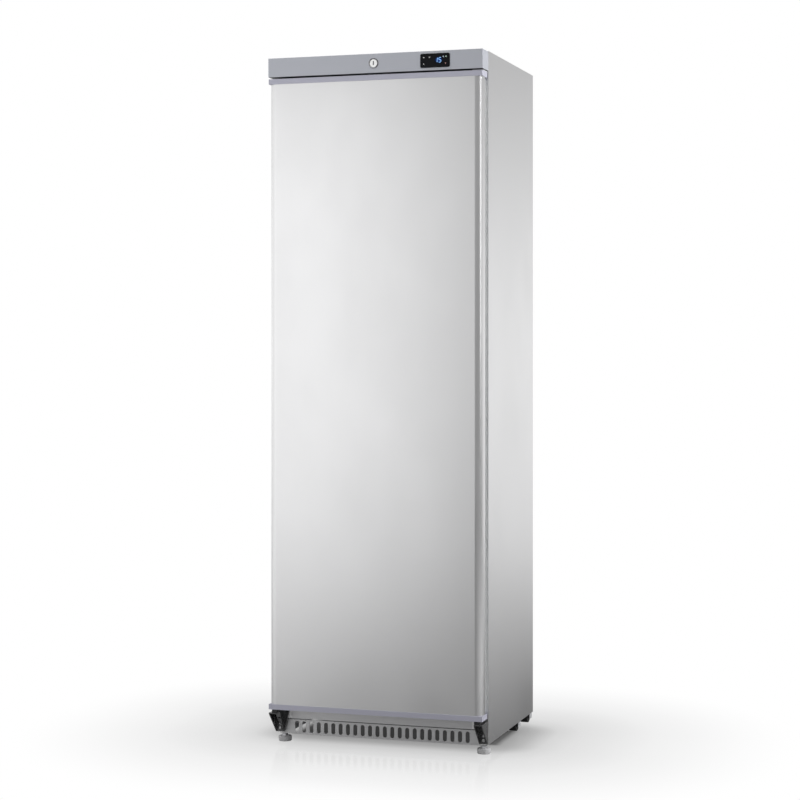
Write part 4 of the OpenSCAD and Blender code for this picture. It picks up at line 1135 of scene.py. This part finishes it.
@dataclass(frozen=True)
class Lamp:
    """One soft box, which the camera itself doesn't see.

    Attributes:
        name: Name of the lamp.
        place: Centre of the box.
        aim: Point that it faces.
        size: Width and height in metres.
        power: Power in watts.
        mirrored: Whether polished surfaces mirror it.
        lights: Whether it lights matt surfaces.
    """

    name: str
    place: Point3
    aim: Point3
    size: Point2
    power: float
    mirrored: bool = True
    lights: bool = True

    def build(self) -> None:
        """Makes the lamp."""
        data = bpy.data.lights.new(self.name, "AREA")
        data.shape = "RECTANGLE"
        data.size, data.size_y = self.size
        data.energy = self.power
        obj = bpy.data.objects.new(self.name, data)
        obj.location = self.place
        obj.rotation_euler = (Vector(self.aim) - Vector(self.place)).to_track_quat("-Z", "Y").to_euler()
        obj.visible_camera = False
        obj.visible_glossy = self.mirrored
        obj.visible_diffuse = self.lights
        bpy.context.scene.collection.objects.link(obj)


LAMPS = (
    Lamp("soft_box_left", (-1.62, -2.75, 1.2), (-0.3, -0.2, 1.1), (2.3, 2.3), 15.8),
    Lamp("soft_box_top", (-0.5, -0.7, 3.4), (0.0, -0.4, 0.0), (2.0, 1.6), 30.0),
    Lamp("edge_light", (2.6, -0.7, 2.0), (0.3, -0.1, 1.3), (0.30, 2.2), 8.0),
    Lamp("side_fill", (2.8, 0.3, 1.7), (0.3, -0.2, 1.3), (1.4, 2.0), 62.0, mirrored=False),
    Lamp("soft_box_edge", (-2.34, -0.71, 1.2), (-0.3, -0.29, 1.2), (2.2, 2.4), 11.5, lights=False),
)


@dataclass
class Studio:
    """Camera, floor, lamps and surroundings.

    Attributes:
        eye: Place of the camera, fitted to the corners of the photograph.
        turn: Turn of the camera about the upright, in degrees.
        lens: Focal length for a 36 mm sensor.
        rise: Upright shift of the picture, as a share of its width.
        floor_size: Width of the floor.
        floor_tone: Darkest and lightest tone of the floor.
        under: How far in under the object's sides and front the floor starts to turn white.
        pool: Distances from there and the white share that the floor has at each; near the object this white is
            painted light on its shade.
        painted_shade_across: Places along x and the share of its colour that the floor keeps at each, as
            painted shade.
        painted_shade_back: Places along y and the same shares, as painted shade towards the back.
        backdrop: Places along y between which metal sees the floor turn white.
        mirror: Share of the mirror image in the floor.
        mirror_whole: Distance over which that share stays whole.
        floor_gloss: Roughness of that mirror image.
        room: Light of the room near eye level and further up.
        room_rise: Heights of the view between which it changes.
        band: Light of the bright band behind the object.
        band_rise: Heights of the view between which the band fades out.
        band_turn: Turns of the view to the back between which the band comes in.
    """

    eye: Point3 = (1.6316, -5.1961, 1.0805)
    turn: float = 17.62
    lens: float = 87.49
    rise: float = -0.0674
    floor_size: float = 60.0
    floor_tone: Point2 = (0.82, 0.86)
    under: Point2 = (0.02, 0.20)
    pool: tuple[Point2, ...] = (
        (0.0, 0.03), (0.02, 0.30), (0.07, 0.40), (0.13, 0.68), (0.2, 0.80), (0.4, 0.95), (0.8, 1.0),
    )
    painted_shade_across: tuple[Point2, ...] = ((-1.0, 1.0), (0.0, 0.25), (0.4, 0.3), (1.2, 0.8))
    painted_shade_back: tuple[Point2, ...] = ((-0.3, 1.0), (0.4, 0.75))
    backdrop: Point2 = (-0.5, 6.5)
    mirror: float = 0.20
    mirror_whole: float = 0.2
    floor_gloss: float = 0.12
    room: Point2 = (0.48, 0.34)
    room_rise: Point2 = (0.0, 0.4)
    band: float = 1.15
    band_rise: Point2 = (0.0, 0.20)
    band_turn: Point2 = (-0.10, 0.35)

    def camera(self) -> None:
        """Makes the camera at the photograph's viewing angle."""
        data = bpy.data.cameras.new("view")
        data.sensor_width = 36.0
        data.lens = self.lens
        data.shift_y = self.rise
        data.dof.use_dof = False
        obj = bpy.data.objects.new("view", data)
        obj.location = self.eye
        obj.rotation_euler = (math.radians(90), 0.0, math.radians(self.turn))
        bpy.context.scene.collection.objects.link(obj)
        bpy.context.scene.camera = obj

    def floor(self) -> None:
        """Makes a wide pale floor with a faint mirror image that turns white away from the object."""
        bpy.ops.mesh.primitive_grid_add(x_subdivisions=8, y_subdivisions=8, size=self.floor_size)
        obj = bpy.context.object
        obj.name = "studio_floor"
        material = bpy.data.materials.new("studio_floor")
        graph = Graph(material)
        place = graph.split(graph.spot())
        tone = graph.mapped(graph.noise(Grain.FLOOR), NOISE_RANGE, self.floor_tone)
        # Painted shade: the floor's colour is darkened near and to the right of the object and towards the back
        for line, stops in (("X", self.painted_shade_across), ("Y", self.painted_shade_back)):
            tone = graph.maths("MULTIPLY", tone, graph.levels(place[line], stops))
        graph.feed(graph.shader, Base_Color=tone, Roughness=0.9, Specular_IOR_Level=0.0)
        corner, none = CAD_BOX[1], (0.0, 0.0, 0.0)
        cover = (corner[0] - self.under[0], corner[1] - self.under[1], 0.0)
        away = graph.distance(graph.spot(), (("ABSOLUTE", none), ("SUBTRACT", cover), ("MAXIMUM", none)))
        # Near the object the white share is painted light that lifts the floor's shade; further out it fades
        # the floor to white
        fade = graph.levels(away, self.pool)
        near = graph.maths("MULTIPLY", fade, graph.background_rays())
        glossy = graph.add("ShaderNodeLightPath").outputs["Is Glossy Ray"]
        far = graph.maths("MULTIPLY", graph.mapped(place["Y"], self.backdrop, smooth=True), glossy)
        white = graph.feed(graph.add("ShaderNodeEmission"), Strength=1.0).outputs[0]
        paled = graph.blended(graph.maths("MAXIMUM", near, far), graph.shader.outputs[0], white)
        image = graph.feed(graph.add("ShaderNodeBsdfGlossy"), Roughness=self.floor_gloss).outputs[0]
        polish = graph.mapped(away, (self.mirror_whole, self.pool[-1][0]), (self.mirror, 0.0), smooth=True)
        surface = graph.blended(graph.maths("MULTIPLY", fade, polish), paled, image)
        graph.feed(graph.nodes["Material Output"], Surface=surface)
        obj.data.materials.append(material)

    def world(self) -> None:
        """Makes the surround: white to the eye, and a bright band behind a dimmer room to the metal."""
        world = bpy.data.worlds.new("surround")
        bpy.context.scene.world = world
        graph = Graph(world)
        way = graph.split(graph.spot("Generated"))
        behind = graph.mapped(way["Y"], self.band_turn, smooth=True)
        level = graph.mapped(way["Z"], self.band_rise, (1.0, 0.0), smooth=True)
        room = graph.mapped(way["Z"], self.room_rise, self.room, smooth=True)
        light = graph.mapped(graph.maths("MULTIPLY", behind, level), (0.0, 1.0), (room, self.band))
        mix = graph.add("ShaderNodeMix", data_type="FLOAT")
        graph.feed(mix, Factor=graph.background_rays(), A=light, B=1.0)
        graph.feed(graph.nodes["Background"], Color=mix.outputs["Result"])

    def build(self) -> None:
        """Sets up the whole studio."""
        self.camera()
        self.floor()
        self.world()
        for lamp in LAMPS:
            lamp.build()
        bpy.context.scene.view_settings.view_transform = "Standard"


def main() -> None:
    """Builds the studio and every sub-assembly in order."""
    logging.basicConfig(level=logging.INFO, format="%(message)s")
    CarriedNodes().dress()
    Controller().build()
    Lock().build()
    HingeScrews().build()
    Foot("foot_left", "left_foot").build()
    Foot("foot_right", "right_foot").build()
    DoorSeal().build()
    Studio().build()


if __name__ == "__main__":
    main()
